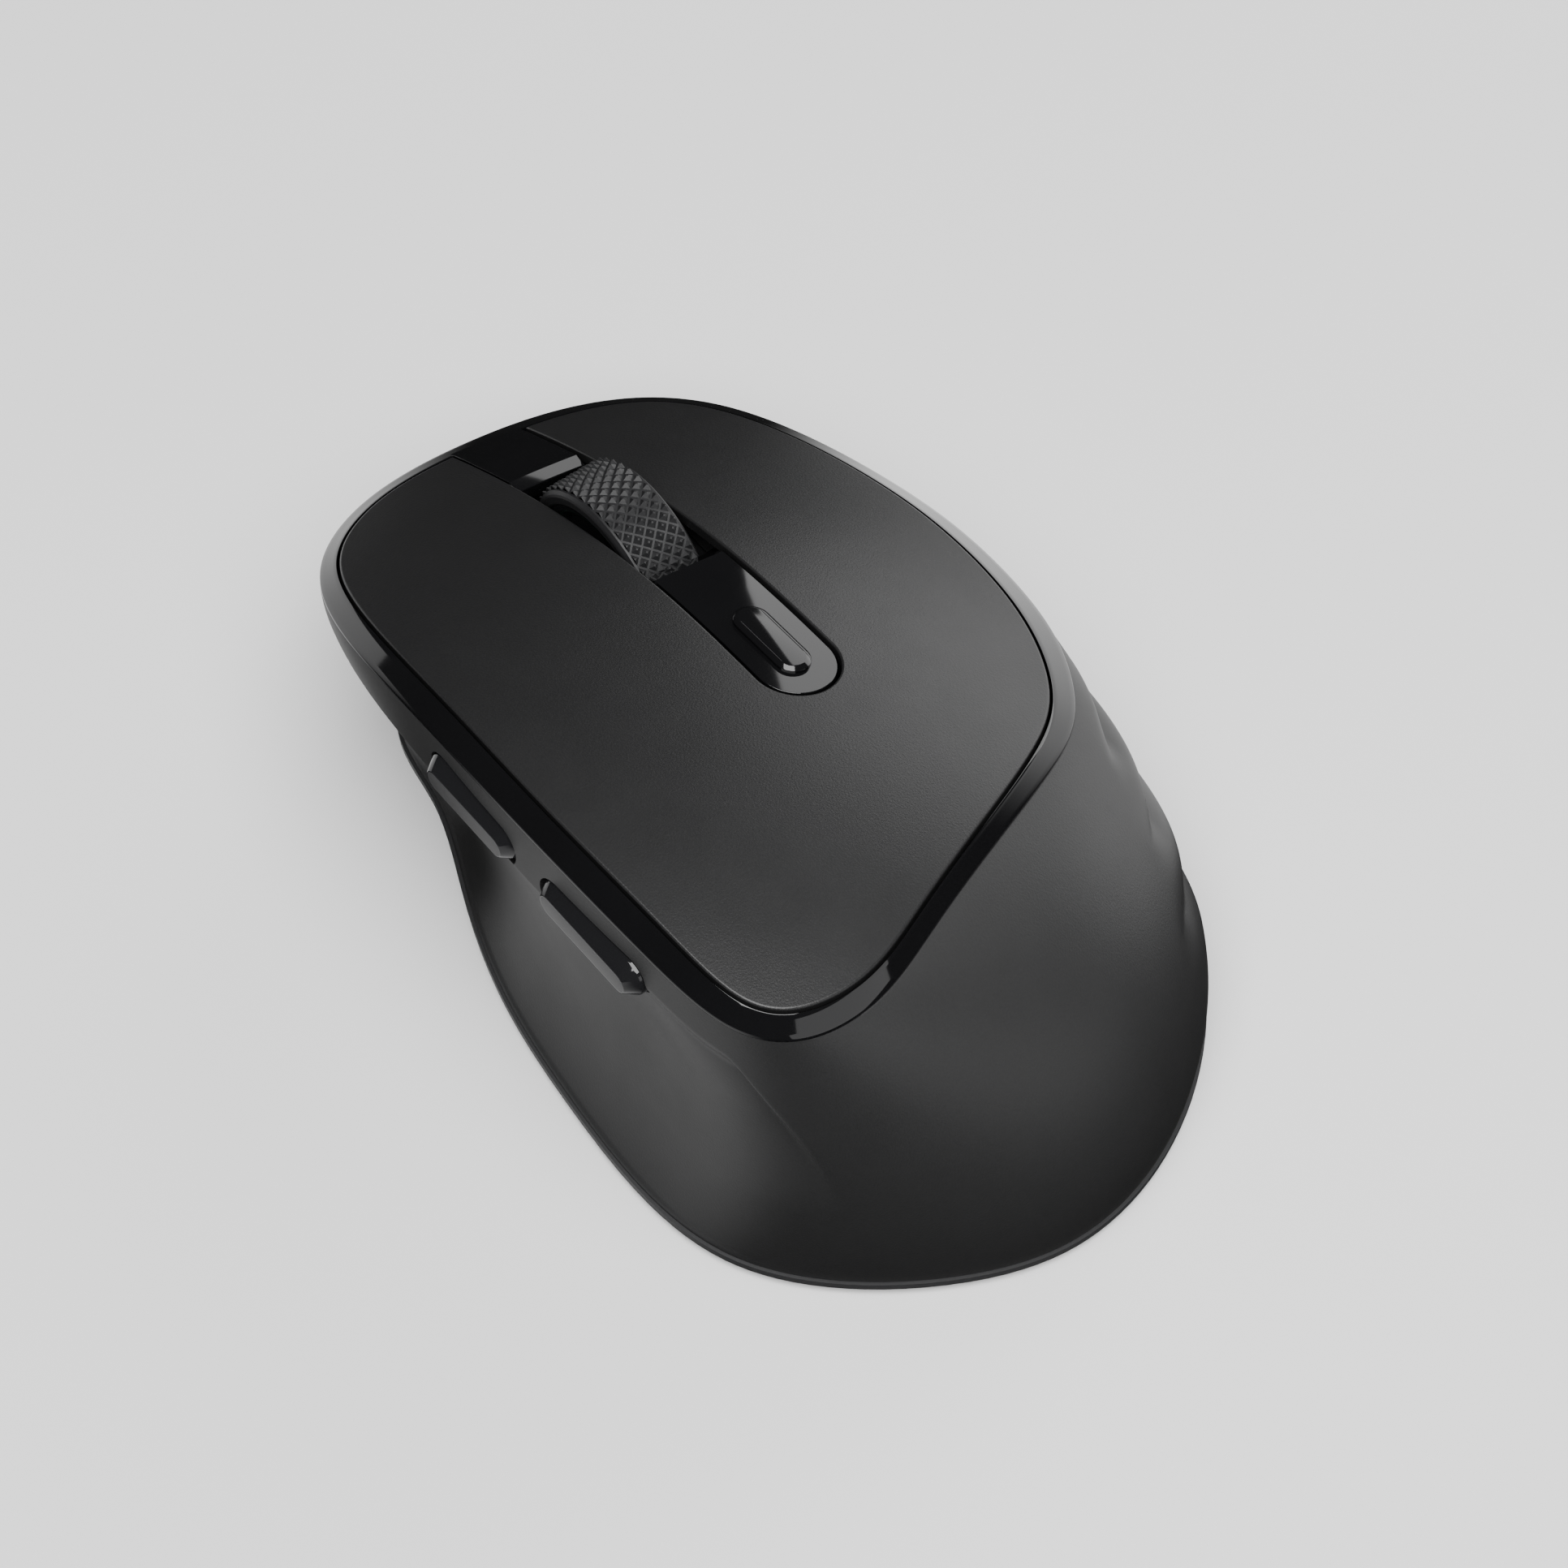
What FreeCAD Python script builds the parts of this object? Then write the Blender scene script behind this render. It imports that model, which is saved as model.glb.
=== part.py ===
import FreeCAD, Part
import math
import os

# Wireless ergonomic computer mouse, millimetres, +Z up, nose toward +Y, thumb side toward -X.
# Origin: on the desk plane, under the centreline of the scroll-wheel slot, halfway from heel to nose.

# --- driving sizes -------------------------------------------------------------------------------
BODY_LENGTH = 118.0        # heel to nose
BODY_WIDTH = 77.0          # thumb rest to ring-finger side
BODY_HEIGHT = 44.0         # desk to the hump on the centreline
WALL = 1.8                 # shell wall
COVER_THICKNESS = 1.6      # top skin and keys
COVER_GAP = 0.35           # line of shadow between top skin and rim
KEY_SPLIT_Y = -14.0        # living hinge of both keys
SLOT_HALF = 5.25           # half width of the centre slot
SLOT_END_Y = -4.2          # centre of the slot's round rear end
STRIP_SINK = 0.35          # gloss strip lies this far below the top skin
WHEEL_Y = 27.0
WHEEL_Z = 29.3
WHEEL_RADIUS = 12.5
WHEEL_WIDTH = 8.2
NOSE_CLEARANCE = 1.8       # from the tyre to the nose piece, measured along the desk
STRIP_REACH = 0.3          # the strip starts to slope down this far under the tyre's rear
NOSE_EDGE_Y = WHEEL_Y + WHEEL_RADIUS + NOSE_CLEARANCE
STRIP_EDGE_Y = WHEEL_Y - WHEEL_RADIUS + STRIP_REACH
STRIP_RAMP = (2.1, 1.6)    # length and drop of that slope
NOSE_BEVEL = (1.6, 1.1)    # length and drop of the nose piece's rear bevel
AXLE_RADIUS = 1.25
AXLE_CLEARANCE = 0.06
BASE_BOTTOM = 0.6
BASE_TOP = 2.1
FOOT_THICKNESS = 0.85
SHELL_FOOT = 2.2           # lower edge of the shell
MAIN_BOARD_Z = 6.4
UPPER_BOARD_Z = 17.6
BOARD_THICKNESS = 1.2
SWITCH_SIZE = (5.8, 12.8, 6.4)
CELL_RADIUS = 7.2
CELL_Y = -27.0
CELL_LIFT = 2.7            # underside of the cell above the desk
CELL_Z = CELL_RADIUS + CELL_LIFT
SIDE_BUTTON_HEIGHT = 5.3
SIDE_BUTTON_Z = 37.85
SIDE_BUTTON_GAP = 0.3
SIDE_BUTTON_PROUD = 1.5
DPI_LENGTH = 11.4
DPI_WIDTH = 4.3
SCOOP_DEPTH = 3.6          # thumb scoop
SCOOP_STEP = 1.2           # step between palm and scoop
GROOVE_DEPTH = 1.1         # three finger grooves along the right flank
GROOVE_TOP = 0.255         # profile share where the first groove runs
GROOVE_PITCH = 0.235       # profile share from one groove to the next

SX = BODY_WIDTH / 77.0
SY = BODY_LENGTH / 118.0
SZ = BODY_HEIGHT / 44.0
FORWARD = 2.3 * SY         # finished pieces move forward by this, which puts the origin at mid-length

# Stations round the body, clockwise seen from above, starting at the middle of the nose.
# top skin edge x y | rim outer edge x y | rim drop | foot x y | shoulder out, down | foot out, up
STATIONS = [
    (0.0, 54.0, 0.0, 57.4, 0.9, 0.0, 54.0, 0.4, 7.0, 1.0, 7.0),
    (11.0, 53.6, 11.8, 57.0, 0.9, 11.0, 53.6, 0.4, 7.0, 1.0, 7.0),
    (19.5, 50.6, 21.3, 53.9, 1.1, 20.5, 51.0, 0.6, 7.0, 1.2, 7.0),
    (24.6, 43.8, 27.6, 46.4, 1.4, 28.8, 44.0, 1.2, 7.0, 1.8, 7.0),
    (27.2, 33.5, 30.7, 34.8, 1.8, 33.8, 33.5, 1.8, 7.0, 2.2, 8.0),
    (28.9, 20.9, 32.6, 21.6, 2.2, 36.8, 20.0, 2.2, 7.0, 2.4, 9.0),
    (30.0, 8.0, 33.9, 8.0, 2.4, 38.0, 5.0, 2.2, 7.0, 1.8, 10.0),
    (29.5, -3.5, 33.3, -4.4, 2.5, 37.1, -10.3, 2.6, 7.0, 1.4, 11.0),
    (27.3, -12.9, 30.7, -14.2, 2.4, 34.9, -24.6, 3.4, 6.0, 1.4, 13.0),
    (22.8, -21.1, 25.0, -23.0, 2.2, 30.2, -40.2, 6.4, 5.0, 1.6, 16.0),
    (15.2, -26.8, 16.5, -28.6, 2.1, 21.4, -51.6, 10.0, 4.0, 2.4, 19.0),
    (4.2, -31.9, 5.0, -33.6, 2.1, 8.5, -59.4, 12.0, 3.8, 2.8, 21.0),
    (-7.8, -36.9, -7.2, -38.6, 2.1, -6.0, -61.6, 10.0, 4.0, 2.8, 20.0),
    (-18.2, -40.7, -18.0, -42.6, 2.1, -19.2, -57.0, 7.0, 4.5, 2.6, 18.0),
    (-27.0, -40.4, -27.6, -42.5, 2.1, -29.8, -49.2, 3.6, 7.0, 1.8, 14.0),
    (-32.1, -35.4, -34.0, -36.8, 2.2, -36.8, -39.5, 1.6, 9.0, 0.8, 11.0),
    (-33.7, -24.0, -36.3, -24.6, 2.4, -39.2, -27.0, 0.7, 10.0, 0.2, 9.0),
    (-34.5, -8.0, -37.1, -8.2, 2.5, -38.4, -12.0, 0.4, 10.0, 0.0, 9.0),
    (-34.3, 8.0, -36.9, 8.0, 2.5, -36.2, 2.5, 0.4, 10.0, 0.0, 9.0),
    (-33.3, 23.0, -35.8, 23.4, 2.5, -31.6, 16.5, 0.4, 10.0, 0.0, 9.0),
    (-31.1, 36.0, -33.4, 37.0, 2.2, -26.2, 30.0, 0.3, 9.0, 0.2, 8.0),
    (-25.9, 46.3, -27.4, 48.3, 1.7, -23.2, 42.0, 0.3, 8.0, 0.5, 7.0),
    (-14.5, 52.7, -15.2, 55.4, 1.1, -12.5, 52.0, 0.4, 7.0, 0.8, 7.0),
]
LOOP = len(STATIONS)
AROUND = 9 * LOOP          # samples round the body
DOWN = 36                  # samples from rim to foot


# --- body surface --------------------------------------------------------------------------------
def spline_weights(values):
    """Control values of the closed cubic spline that passes through the station values."""
    control = list(values)
    for _ in range(40):
        for i in range(LOOP):
            control[i] = (6.0 * values[i] - control[i - 1] - control[(i + 1) % LOOP]) / 4.0
    return control


SCALES = (SX, SY, SX, SY, SZ, SX, SY, 1.0, SZ, 1.0, SZ)
CONTROL = [spline_weights([row[k] * SCALES[k] for row in STATIONS]) for k in range(11)]


def station(u):
    """All eleven station values at loop position u, 0 to LOOP."""
    i = int(math.floor(u))
    t = u - i
    w = ((1 - t) ** 3 / 6, (3 * t ** 3 - 6 * t * t + 4) / 6, (-3 * t ** 3 + 3 * t * t + 3 * t + 1) / 6, t ** 3 / 6)
    return [sum(w[j] * c[(i - 1 + j) % LOOP] for j in range(4)) for c in CONTROL]


def top_height(x, y):
    """Height of the top skin: hump along Y, falling toward the ring-finger side."""
    x, y = x / SX, y / SY
    if y > 8.0:
        crest = 43.61 - 0.00422 * y - 0.006786 * y * y + 0.00001835 * y ** 3
    else:
        crest = 43.15 - 0.1093 * (y - 8.0) - 0.0035 * (y - 8.0) ** 2
    return SZ * (crest - 0.22 * x - 0.0037 * x * x)


def smooth(t):
    t = min(1.0, max(0.0, t))
    return t * t * (3.0 - 2.0 * t)


def rim_outward(u):
    """Horizontal unit vector pointing out of the rim at loop position u."""
    a, b = station(u - 0.02), station(u + 0.02)
    dx, dy = b[2] - a[2], b[3] - a[3]
    size = math.hypot(dx, dy)
    return -dy / size, dx / size


def crease(u):
    """Share of the profile above the thumb crease."""
    return 0.215 + 0.02 * smooth((u - 19.0) / 2.0)


def relief(u, v):
    """Depth cut inward from the plain skin by the thumb scoop and the finger grooves."""
    rear_line = 15.5 - 4.2 * v + 2.6 * v * v
    behind = (u - rear_line) * 12.0
    below = (v - crease(u)) * 46.0
    front_fade = 1.0 - smooth((u - 19.6) / 2.4)
    step = SCOOP_STEP * smooth(behind / 1.6) * smooth((below + 4.0) / 4.0) * (1.0 - smooth((v - 0.35) / 0.35))
    step *= 1.0 - smooth((u - 16.0) / 1.2)
    s = min(1.0, max(0.0, below / (46.0 * (1.0 - crease(u)))))
    hollow = SCOOP_DEPTH * 4.0 * s * (1.0 - s) * smooth(behind / 30.0) * front_fade
    phase = (v + 0.08 * (u - 8.5) - GROOVE_TOP) / GROOVE_PITCH
    grooves = 0.0
    if -0.5 < phase < 2.5:
        rear_fade = 1.0 - smooth((u - 8.135 - 2.2 * v) / 0.75)
        grooves = GROOVE_DEPTH * (1.0 - abs(math.sin(math.pi * phase))) * smooth((u - 5.2) / 1.2) * rear_fade
    return step + hollow + grooves


def plain_skin(u, v):
    s = station(u)
    ox, oy = rim_outward(u)
    top = top_height(s[2], s[3]) - s[4] - 0.38
    p0 = (s[2], s[3], top)
    p1 = (s[2] + s[7] * ox, s[3] + s[7] * oy, top - s[8])
    p2 = (s[5] + s[9] * ox, s[6] + s[9] * oy, SHELL_FOOT + s[10])
    p3 = (s[5], s[6], SHELL_FOOT)
    w = ((1 - v) ** 3, 3 * v * (1 - v) ** 2, 3 * v * v * (1 - v), v ** 3)
    return FreeCAD.Vector(*[w[0] * p0[k] + w[1] * p1[k] + w[2] * p2[k] + w[3] * p3[k] for k in range(3)])


def normal_of(skin, u, v):
    a, b = skin(u - 0.03, v), skin(u + 0.03, v)
    c, d = skin(u, max(0.0, v - 0.01)), skin(u, min(1.0, v + 0.01))
    return (c - d).cross(b - a).normalize()


def skin(u, v):
    p = plain_skin(u, v)
    depth = relief(u % LOOP, v) * smooth(v / 0.04) * smooth((1.0 - v) / 0.03)
    if depth > 0.0:
        p = p - normal_of(plain_skin, u, v) * depth
    return p


def skin_rows(inset):
    """Loops of points from rim to foot, moved inward by the inset."""
    rows = []
    for j in range(DOWN + 1):
        v = j / DOWN
        row = []
        for i in range(AROUND):
            u = i * LOOP / AROUND
            p = skin(u, v)
            if inset:
                n = normal_of(skin, u, v)
                if j in (0, DOWN):
                    n.z = 0.0
                    n.normalize()
                p = p - n * inset
            row.append(p)
        rows.append(row)
    return rows


def plan_row(column, push, height):
    """Loop over the plan curve in the given station columns, pushed outward."""
    row = []
    for i in range(AROUND):
        u = i * LOOP / AROUND
        a, b, s = station(u - 0.02), station(u + 0.02), station(u)
        dx, dy = b[column] - a[column], b[column + 1] - a[column + 1]
        size = math.hypot(dx, dy)
        x, y = s[column] - push * dy / size, s[column + 1] + push * dx / size
        row.append(FreeCAD.Vector(x, y, height(x, y)))
    return row


# --- closed surfaces from loops ------------------------------------------------------------------
def closed_poles(row):
    """Poles of the closed cubic spline that follows a loop of samples."""
    n = len(row)
    return [row[i] + (row[i] * 2.0 - row[i - 1] - row[(i + 1) % n]) / 6.0 for i in range(n)]


def band(rows):
    """Face through a stack of loops: closed round the body, straight or cubic down it."""
    poles = [closed_poles(row) for row in rows]
    n, m = len(poles[0]), len(poles)
    degree = 3 if m > 3 else 1
    if degree == 3:
        inner = [[p for p in row] for row in poles]
        for j in range(2, m - 2):
            inner[j] = [poles[j][i] + (poles[j][i] * 2.0 - poles[j - 1][i] - poles[j + 1][i]) / 6.0 for i in range(n)]
        poles = inner
    grid = [[poles[j][i] for j in range(m)] for i in range(n)]
    surface = Part.BSplineSurface()
    inner_knots = m - degree - 1
    surface.buildFromPolesMultsKnots(
        grid,
        [1] * (n + 1),
        [degree + 1] + [1] * inner_knots + [degree + 1],
        [float(k) for k in range(n + 1)],
        [float(k) for k in range(inner_knots + 2)],
        True, False, 3, degree)
    return surface.toShape()


def solid_of(faces):
    shell = Part.makeShell(faces)
    shell.sewShape()
    solid = Part.Solid(Part.Shell(shell.Faces))
    if solid.Volume < 0:
        solid.reverse()
    return solid


def cap(row):
    curve = Part.BSplineCurve()
    poles = closed_poles(row)
    n = len(poles)
    curve.buildFromPolesMultsKnots(poles, [1] * (n + 1), [float(k) for k in range(n + 1)], True, 3)
    return Part.Face(Part.Wire([curve.toShape()]))


def stacked(rows):
    """Solid with flat ends from loops that start and end level."""
    faces = [band([a, b]) for a, b in zip(rows, rows[1:])]
    return solid_of(faces + [cap(rows[0]), cap(rows[-1])])


def core(inset):
    """Filled body inside the skin, carried straight up past the hump and down past the base."""
    rows = skin_rows(inset)
    lid = [FreeCAD.Vector(p.x, p.y, 70.0) for p in rows[0]]
    floor = [FreeCAD.Vector(p.x, p.y, 0.0) for p in rows[-1]]
    return solid_of([band([lid, rows[0]]), band(rows), band([rows[-1], floor]), cap(lid), cap(floor)])


# --- small shapes --------------------------------------------------------------------------------
def box(x0, x1, y0, y1, z0, z1):
    return Part.makeBox(x1 - x0, y1 - y0, z1 - z0, FreeCAD.Vector(x0, y0, z0))


def rod(radius, x, y, z0, z1):
    return Part.makeCylinder(radius, z1 - z0, FreeCAD.Vector(x, y, z0))


def cross_rod(radius, x0, x1, y, z):
    return Part.makeCylinder(radius, x1 - x0, FreeCAD.Vector(x0, y, z), FreeCAD.Vector(1, 0, 0))


def pill_wire(length, width, centre, along, across):
    """Stadium outline."""
    half, r = (length - width) / 2.0, width / 2.0
    a, b = along * half, across * r
    p = [centre + a + b, centre - a + b, centre - a - b, centre + a - b]
    end = centre + a + along * r
    start = centre - a - along * r
    edges = [Part.makeLine(p[0], p[1]), Part.Arc(p[1], start, p[2]).toShape(),
             Part.makeLine(p[2], p[3]), Part.Arc(p[3], end, p[0]).toShape()]
    return Part.Wire(edges)


X_AXIS = FreeCAD.Vector(1, 0, 0)
Y_AXIS = FreeCAD.Vector(0, 1, 0)
Z_AXIS = FreeCAD.Vector(0, 0, 1)


def pill(length, width, x, y, z0, z1, along=Y_AXIS, across=X_AXIS):
    wire = pill_wire(length, width, FreeCAD.Vector(x, y, z0), along, across)
    return Part.Face(wire).extrude(FreeCAD.Vector(0, 0, z1 - z0))


def fused(first, *rest):
    return first.fuse(list(rest)).removeSplitter() if rest else first


def top_slab(high, low):
    """Slab that follows the top skin, from high to low measured from its surface."""
    xs = [SX * (-45.0 + 5.0 * i) for i in range(19)]
    ys = [SY * (-55.0 + 5.0 * j) for j in range(26)]
    surface = Part.BSplineSurface()
    surface.interpolate([[FreeCAD.Vector(x, y, top_height(x, y) + high) for y in ys] for x in xs])
    return surface.toShape().extrude(FreeCAD.Vector(0, 0, low - high))


def plan_prism(push):
    """Upright prism over the top skin's outline."""
    rows = [plan_row(0, push, lambda x, y: 0.0), plan_row(0, push, lambda x, y: 80.0)]
    return stacked(rows)


def slot_prism(inset, reach):
    """Upright prism over the centre slot, open toward the nose."""
    half = SLOT_HALF - inset
    body = box(-half, half, SLOT_END_Y, reach, 0.0, 80.0)
    return body.fuse(rod(half, 0.0, SLOT_END_Y, 0.0, 80.0))


NODES = {}


# --- shell ---------------------------------------------------------------------------------------
def side_button_prism(y0, y1, grow, x0, x1):
    length = y1 - y0 + 2 * grow
    centre = FreeCAD.Vector(x0, (y0 + y1) / 2.0, SIDE_BUTTON_Z * SZ)
    wire = pill_wire(length, SIDE_BUTTON_HEIGHT + 2 * grow, centre, Y_AXIS, Z_AXIS)
    return Part.Face(wire).extrude(FreeCAD.Vector(x1 - x0, 0, 0))


FORWARD_SPAN = (-3.0 * SY, 13.0 * SY)
BACK_SPAN = (-25.3 * SY, -7.9 * SY)
SCREW_SPOTS = [(-8.0, 44.5), (12.0, 44.5), (-12.0, -51.0), (6.0, -51.0)]
SCREW_SPOTS = [(x * SX, y * SY) for x, y in SCREW_SPOTS]


def body_shell():
    outer, inner = skin_rows(0.0), skin_rows(WALL)
    for a, b in ((outer[0], inner[0]), (outer[-1], inner[-1])):
        for p, q in zip(a, b):
            q.z = p.z
    faces = [band(outer), band(inner), band([outer[0], inner[0]]), band([outer[-1], inner[-1]])]
    shell = solid_of(faces)
    for span in (FORWARD_SPAN, BACK_SPAN):
        shell = shell.cut(side_button_prism(span[0], span[1], SIDE_BUTTON_GAP, -45.0 * SX, -30.0 * SX))
    inside = core(WALL * 0.5)
    for x, y in SCREW_SPOTS:
        reach = 1.0 if y > 0 else -1.0
        y0, y1 = sorted((y, y + reach * 14.0))
        rib = box(x - 0.8, x + 0.8, y0, y1, 5.0, 13.0).common(inside)
        boss = rod(3.0, x, y, 5.0, 13.0).fuse(rib).cut(rod(1.25, x, y, 4.0, 12.0))
        shell = shell.fuse(boss)
    return shell


NODES["body_shell"] = body_shell()


# --- glossy rim with the centre strip ------------------------------------------------------------
def space_over_slope(y_high, y_low, drop):
    """Prism over a slope across the slot, from the strip's skin at y_high down to y_low."""
    high = top_height(0.0, y_high) - STRIP_SINK
    low = top_height(0.0, y_low) - STRIP_SINK - drop
    tilt = (top_height(7.0, y_high) - top_height(-7.0, y_high)) / 14.0
    points = [(y_high, high), (y_low, low), (y_low, high + 9.0), (y_high, high + 9.0), (y_high, high)]
    outline = Part.makePolygon([FreeCAD.Vector(-7.0, y, z - 7.0 * tilt) for y, z in points])
    return Part.Face(outline).extrude(FreeCAD.Vector(14.0, 0.0, 14.0 * tilt))


def trim_frame():
    def rim_height(i):
        s = station(i * LOOP / AROUND)
        return top_height(s[2], s[3]) - s[4]

    outer = plan_row(2, 0.0, lambda x, y: 0.0)
    inner = plan_row(0, COVER_GAP, lambda x, y: top_height(x, y) - 0.25)
    for i, p in enumerate(outer):
        p.z = rim_height(i)
    under_out = [FreeCAD.Vector(p.x, p.y, p.z - 0.2) for p in outer]
    under_in = [FreeCAD.Vector(q.x, q.y, min(p.z - 0.2, q.z - 2.4)) for p, q in zip(outer, inner)]
    mid = [p + (q - p) * ((WALL + 0.2) / max(WALL + 0.3, (q - p).Length)) for p, q in zip(under_out, under_in)]
    for p, q in zip(under_out, mid):
        q.z = p.z
    loops = [outer, inner, under_in, mid, under_out, outer]
    ring = solid_of([band([a, b]) for a, b in zip(loops, loops[1:])])
    strip = top_slab(-STRIP_SINK, -2.3).common(slot_prism(0.45, 55.2 * SY))
    ramp_end = STRIP_EDGE_Y + STRIP_RAMP[0]
    strip = strip.cut(box(-9, 9, ramp_end, NOSE_EDGE_Y, 0, 80))
    strip = strip.cut(space_over_slope(STRIP_EDGE_Y, ramp_end, STRIP_RAMP[1]))
    strip = strip.cut(space_over_slope(NOSE_EDGE_Y + NOSE_BEVEL[0], NOSE_EDGE_Y, NOSE_BEVEL[1]))
    rails = top_slab(-3.4, -4.8).common(box(-7.3, 7.3, 8.0, 49.5, 0, 80))
    rails = rails.cut(box(-5.3, 5.3, STRIP_EDGE_Y, NOSE_EDGE_Y, 0, 80))
    web = top_slab(-2.0, -3.6)
    front_web = web.common(box(-4.8, 4.8, NOSE_EDGE_Y, 49.5, 0, 80))
    rear_web = web.common(box(-4.8, 4.8, 8.0, STRIP_EDGE_Y, 0, 80))
    frame = ring.fuse([strip, rails, front_web, rear_web])
    hole = pill(DPI_LENGTH + 0.7, DPI_WIDTH + 0.7, 0.0, -0.3, 20.0, 70.0)
    return frame.cut(hole)


NODES["trim_frame"] = trim_frame()


# --- top skin: palm cover and two keys -----------------------------------------------------------
def cover_pieces():
    skin_slab = top_slab(0.0, -COVER_THICKNESS).common(plan_prism(0.0))
    skin_slab = skin_slab.cut(slot_prism(0.0, 70.0))
    y = KEY_SPLIT_Y * SY
    palm = skin_slab.common(box(-60, 60, -80, y - 0.06, 0, 80))
    left = skin_slab.common(box(-60, -0.05, y + 0.06, 80, 0, 80))
    right = skin_slab.common(box(0.05, 60, y + 0.06, 80, 0, 80))
    return palm, left, right


def key_with_stem(key, x, y, floor):
    """Key with the rib under it that reaches its switch."""
    stem = box(x - 1.6, x + 1.6, y - 2.4, y + 2.4, floor, 60.0).common(top_slab(-1.0, -40.0))
    return fused(key, stem)


SWITCH_TOP = UPPER_BOARD_Z + BOARD_THICKNESS + SWITCH_SIZE[2]
SWITCH_X = 13.0
SWITCH_Y = 34.0
palm, left_key, right_key = cover_pieces()
BOSS_SPOTS = [(-20.0 * SX, -28.0 * SY), (2.0 * SX, -22.0 * SY), (18.0 * SX, -17.0 * SY)]
bosses = [rod(2.4, x, y, 30.0, 60.0).common(top_slab(-1.0, -9.0)) for x, y in BOSS_SPOTS]
NODES["top_cover"] = fused(palm, *bosses)
NODES["left_button"] = key_with_stem(left_key, -SWITCH_X, SWITCH_Y, SWITCH_TOP + 0.75)
NODES["right_button"] = key_with_stem(right_key, SWITCH_X, SWITCH_Y, SWITCH_TOP + 0.75)


# --- dpi button ----------------------------------------------------------------------------------
DPI_Y = -0.3
DPI_SWITCH_TOP = UPPER_BOARD_Z + BOARD_THICKNESS + 3.5


def dpi_button():
    cap_top = pill(DPI_LENGTH - 1.0, DPI_WIDTH - 1.0, 0.0, DPI_Y, 20.0, 70.0).common(top_slab(0.5, -3.0))
    cap_body = pill(DPI_LENGTH, DPI_WIDTH, 0.0, DPI_Y, 20.0, 70.0).common(top_slab(0.05, -3.0))
    flange = pill(DPI_LENGTH + 2.4, DPI_WIDTH + 2.0, 0.0, DPI_Y, 20.0, 70.0).common(top_slab(-2.75, -3.75))
    stem = pill(6.0, 2.4, 0.0, DPI_Y, DPI_SWITCH_TOP + 0.65, 50.0).common(top_slab(-2.0, -40.0))
    return fused(cap_body, cap_top, flange, stem)


NODES["dpi_button"] = dpi_button()


def tact_switch(size, height, x, y, z):
    """Small push switch with a pocket for its plunger, opening upward."""
    body = box(x - size / 2, x + size / 2, y - size / 2, y + size / 2, z, z + height)
    return body.cut(rod(1.55, x, y, z + 1.0, z + height + 1))


NODES["dpi_switch"] = tact_switch(6.0, 3.5, 0.0, DPI_Y, UPPER_BOARD_Z + BOARD_THICKNESS)
NODES["dpi_plunger"] = rod(1.4, 0.0, DPI_Y, DPI_SWITCH_TOP - 1.6, DPI_SWITCH_TOP + 0.62)


# --- thumb buttons -------------------------------------------------------------------------------
FORWARD_FACE = -36.85 * SX - SIDE_BUTTON_PROUD
BACK_FACE = -36.95 * SX - SIDE_BUTTON_PROUD
SIDE_BOARD_SETBACK = 10.95     # from the forward button's face to the board that carries its switch
SIDE_BOARD_X = FORWARD_FACE + SIDE_BOARD_SETBACK
SIDE_SWITCH_DEPTH = 3.8
SIDE_SWITCH_SPOTS = [(5.0 * SY, SIDE_BUTTON_Z * SZ), (-13.5 * SY, SIDE_BUTTON_Z * SZ)]


def side_button(span, face_x, spot):
    """Long pill cap with a wide bevel, retaining flange and stem."""
    y0, y1 = span
    middle = FreeCAD.Vector(0, (y0 + y1) / 2.0, SIDE_BUTTON_Z * SZ)
    length = y1 - y0
    wide = pill_wire(length, SIDE_BUTTON_HEIGHT, middle + X_AXIS * (face_x + 1.5), Y_AXIS, Z_AXIS)
    tight = pill_wire(length - 2.4, SIDE_BUTTON_HEIGHT - 2.4, middle + X_AXIS * face_x, Y_AXIS, Z_AXIS)
    bevel = Part.makeLoft([wide, tight], True, True)
    body = side_button_prism(y0, y1, 0.0, face_x + 1.5, face_x + 5.0)
    flange = side_button_prism(y0, y1, 0.9, face_x + 5.0, face_x + 6.0)
    stem = box(face_x + 6.0, SIDE_BOARD_X - SIDE_SWITCH_DEPTH - 0.72,
               spot[0] - 1.5, spot[0] + 1.5, spot[1] - 1.5, spot[1] + 1.5)
    return fused(bevel, body, flange, stem)


NODES["forward_button"] = side_button(FORWARD_SPAN, FORWARD_FACE, SIDE_SWITCH_SPOTS[0])
NODES["back_button"] = side_button(BACK_SPAN, BACK_FACE, SIDE_SWITCH_SPOTS[1])
NODES["side_board"] = box(SIDE_BOARD_X, SIDE_BOARD_X + 1.2, -17.0, 9.0, 32.0, 42.0)


def side_switch(spot):
    x1 = SIDE_BOARD_X
    x0 = x1 - SIDE_SWITCH_DEPTH
    body = box(x0, x1, spot[0] - 2.6, spot[0] + 2.6, spot[1] - 2.6, spot[1] + 2.6)
    return body.cut(cross_rod(1.25, x0 - 1, x1 - 1.2, spot[0], spot[1]))


def side_plunger(spot):
    x0 = SIDE_BOARD_X - SIDE_SWITCH_DEPTH
    return cross_rod(1.1, x0 - 0.7, x0 + 1.4, spot[0], spot[1])


NODES["side_switches"] = Part.makeCompound([side_switch(s) for s in SIDE_SWITCH_SPOTS])
NODES["forward_plunger"] = side_plunger(SIDE_SWITCH_SPOTS[0])
NODES["back_plunger"] = side_plunger(SIDE_SWITCH_SPOTS[1])


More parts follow.
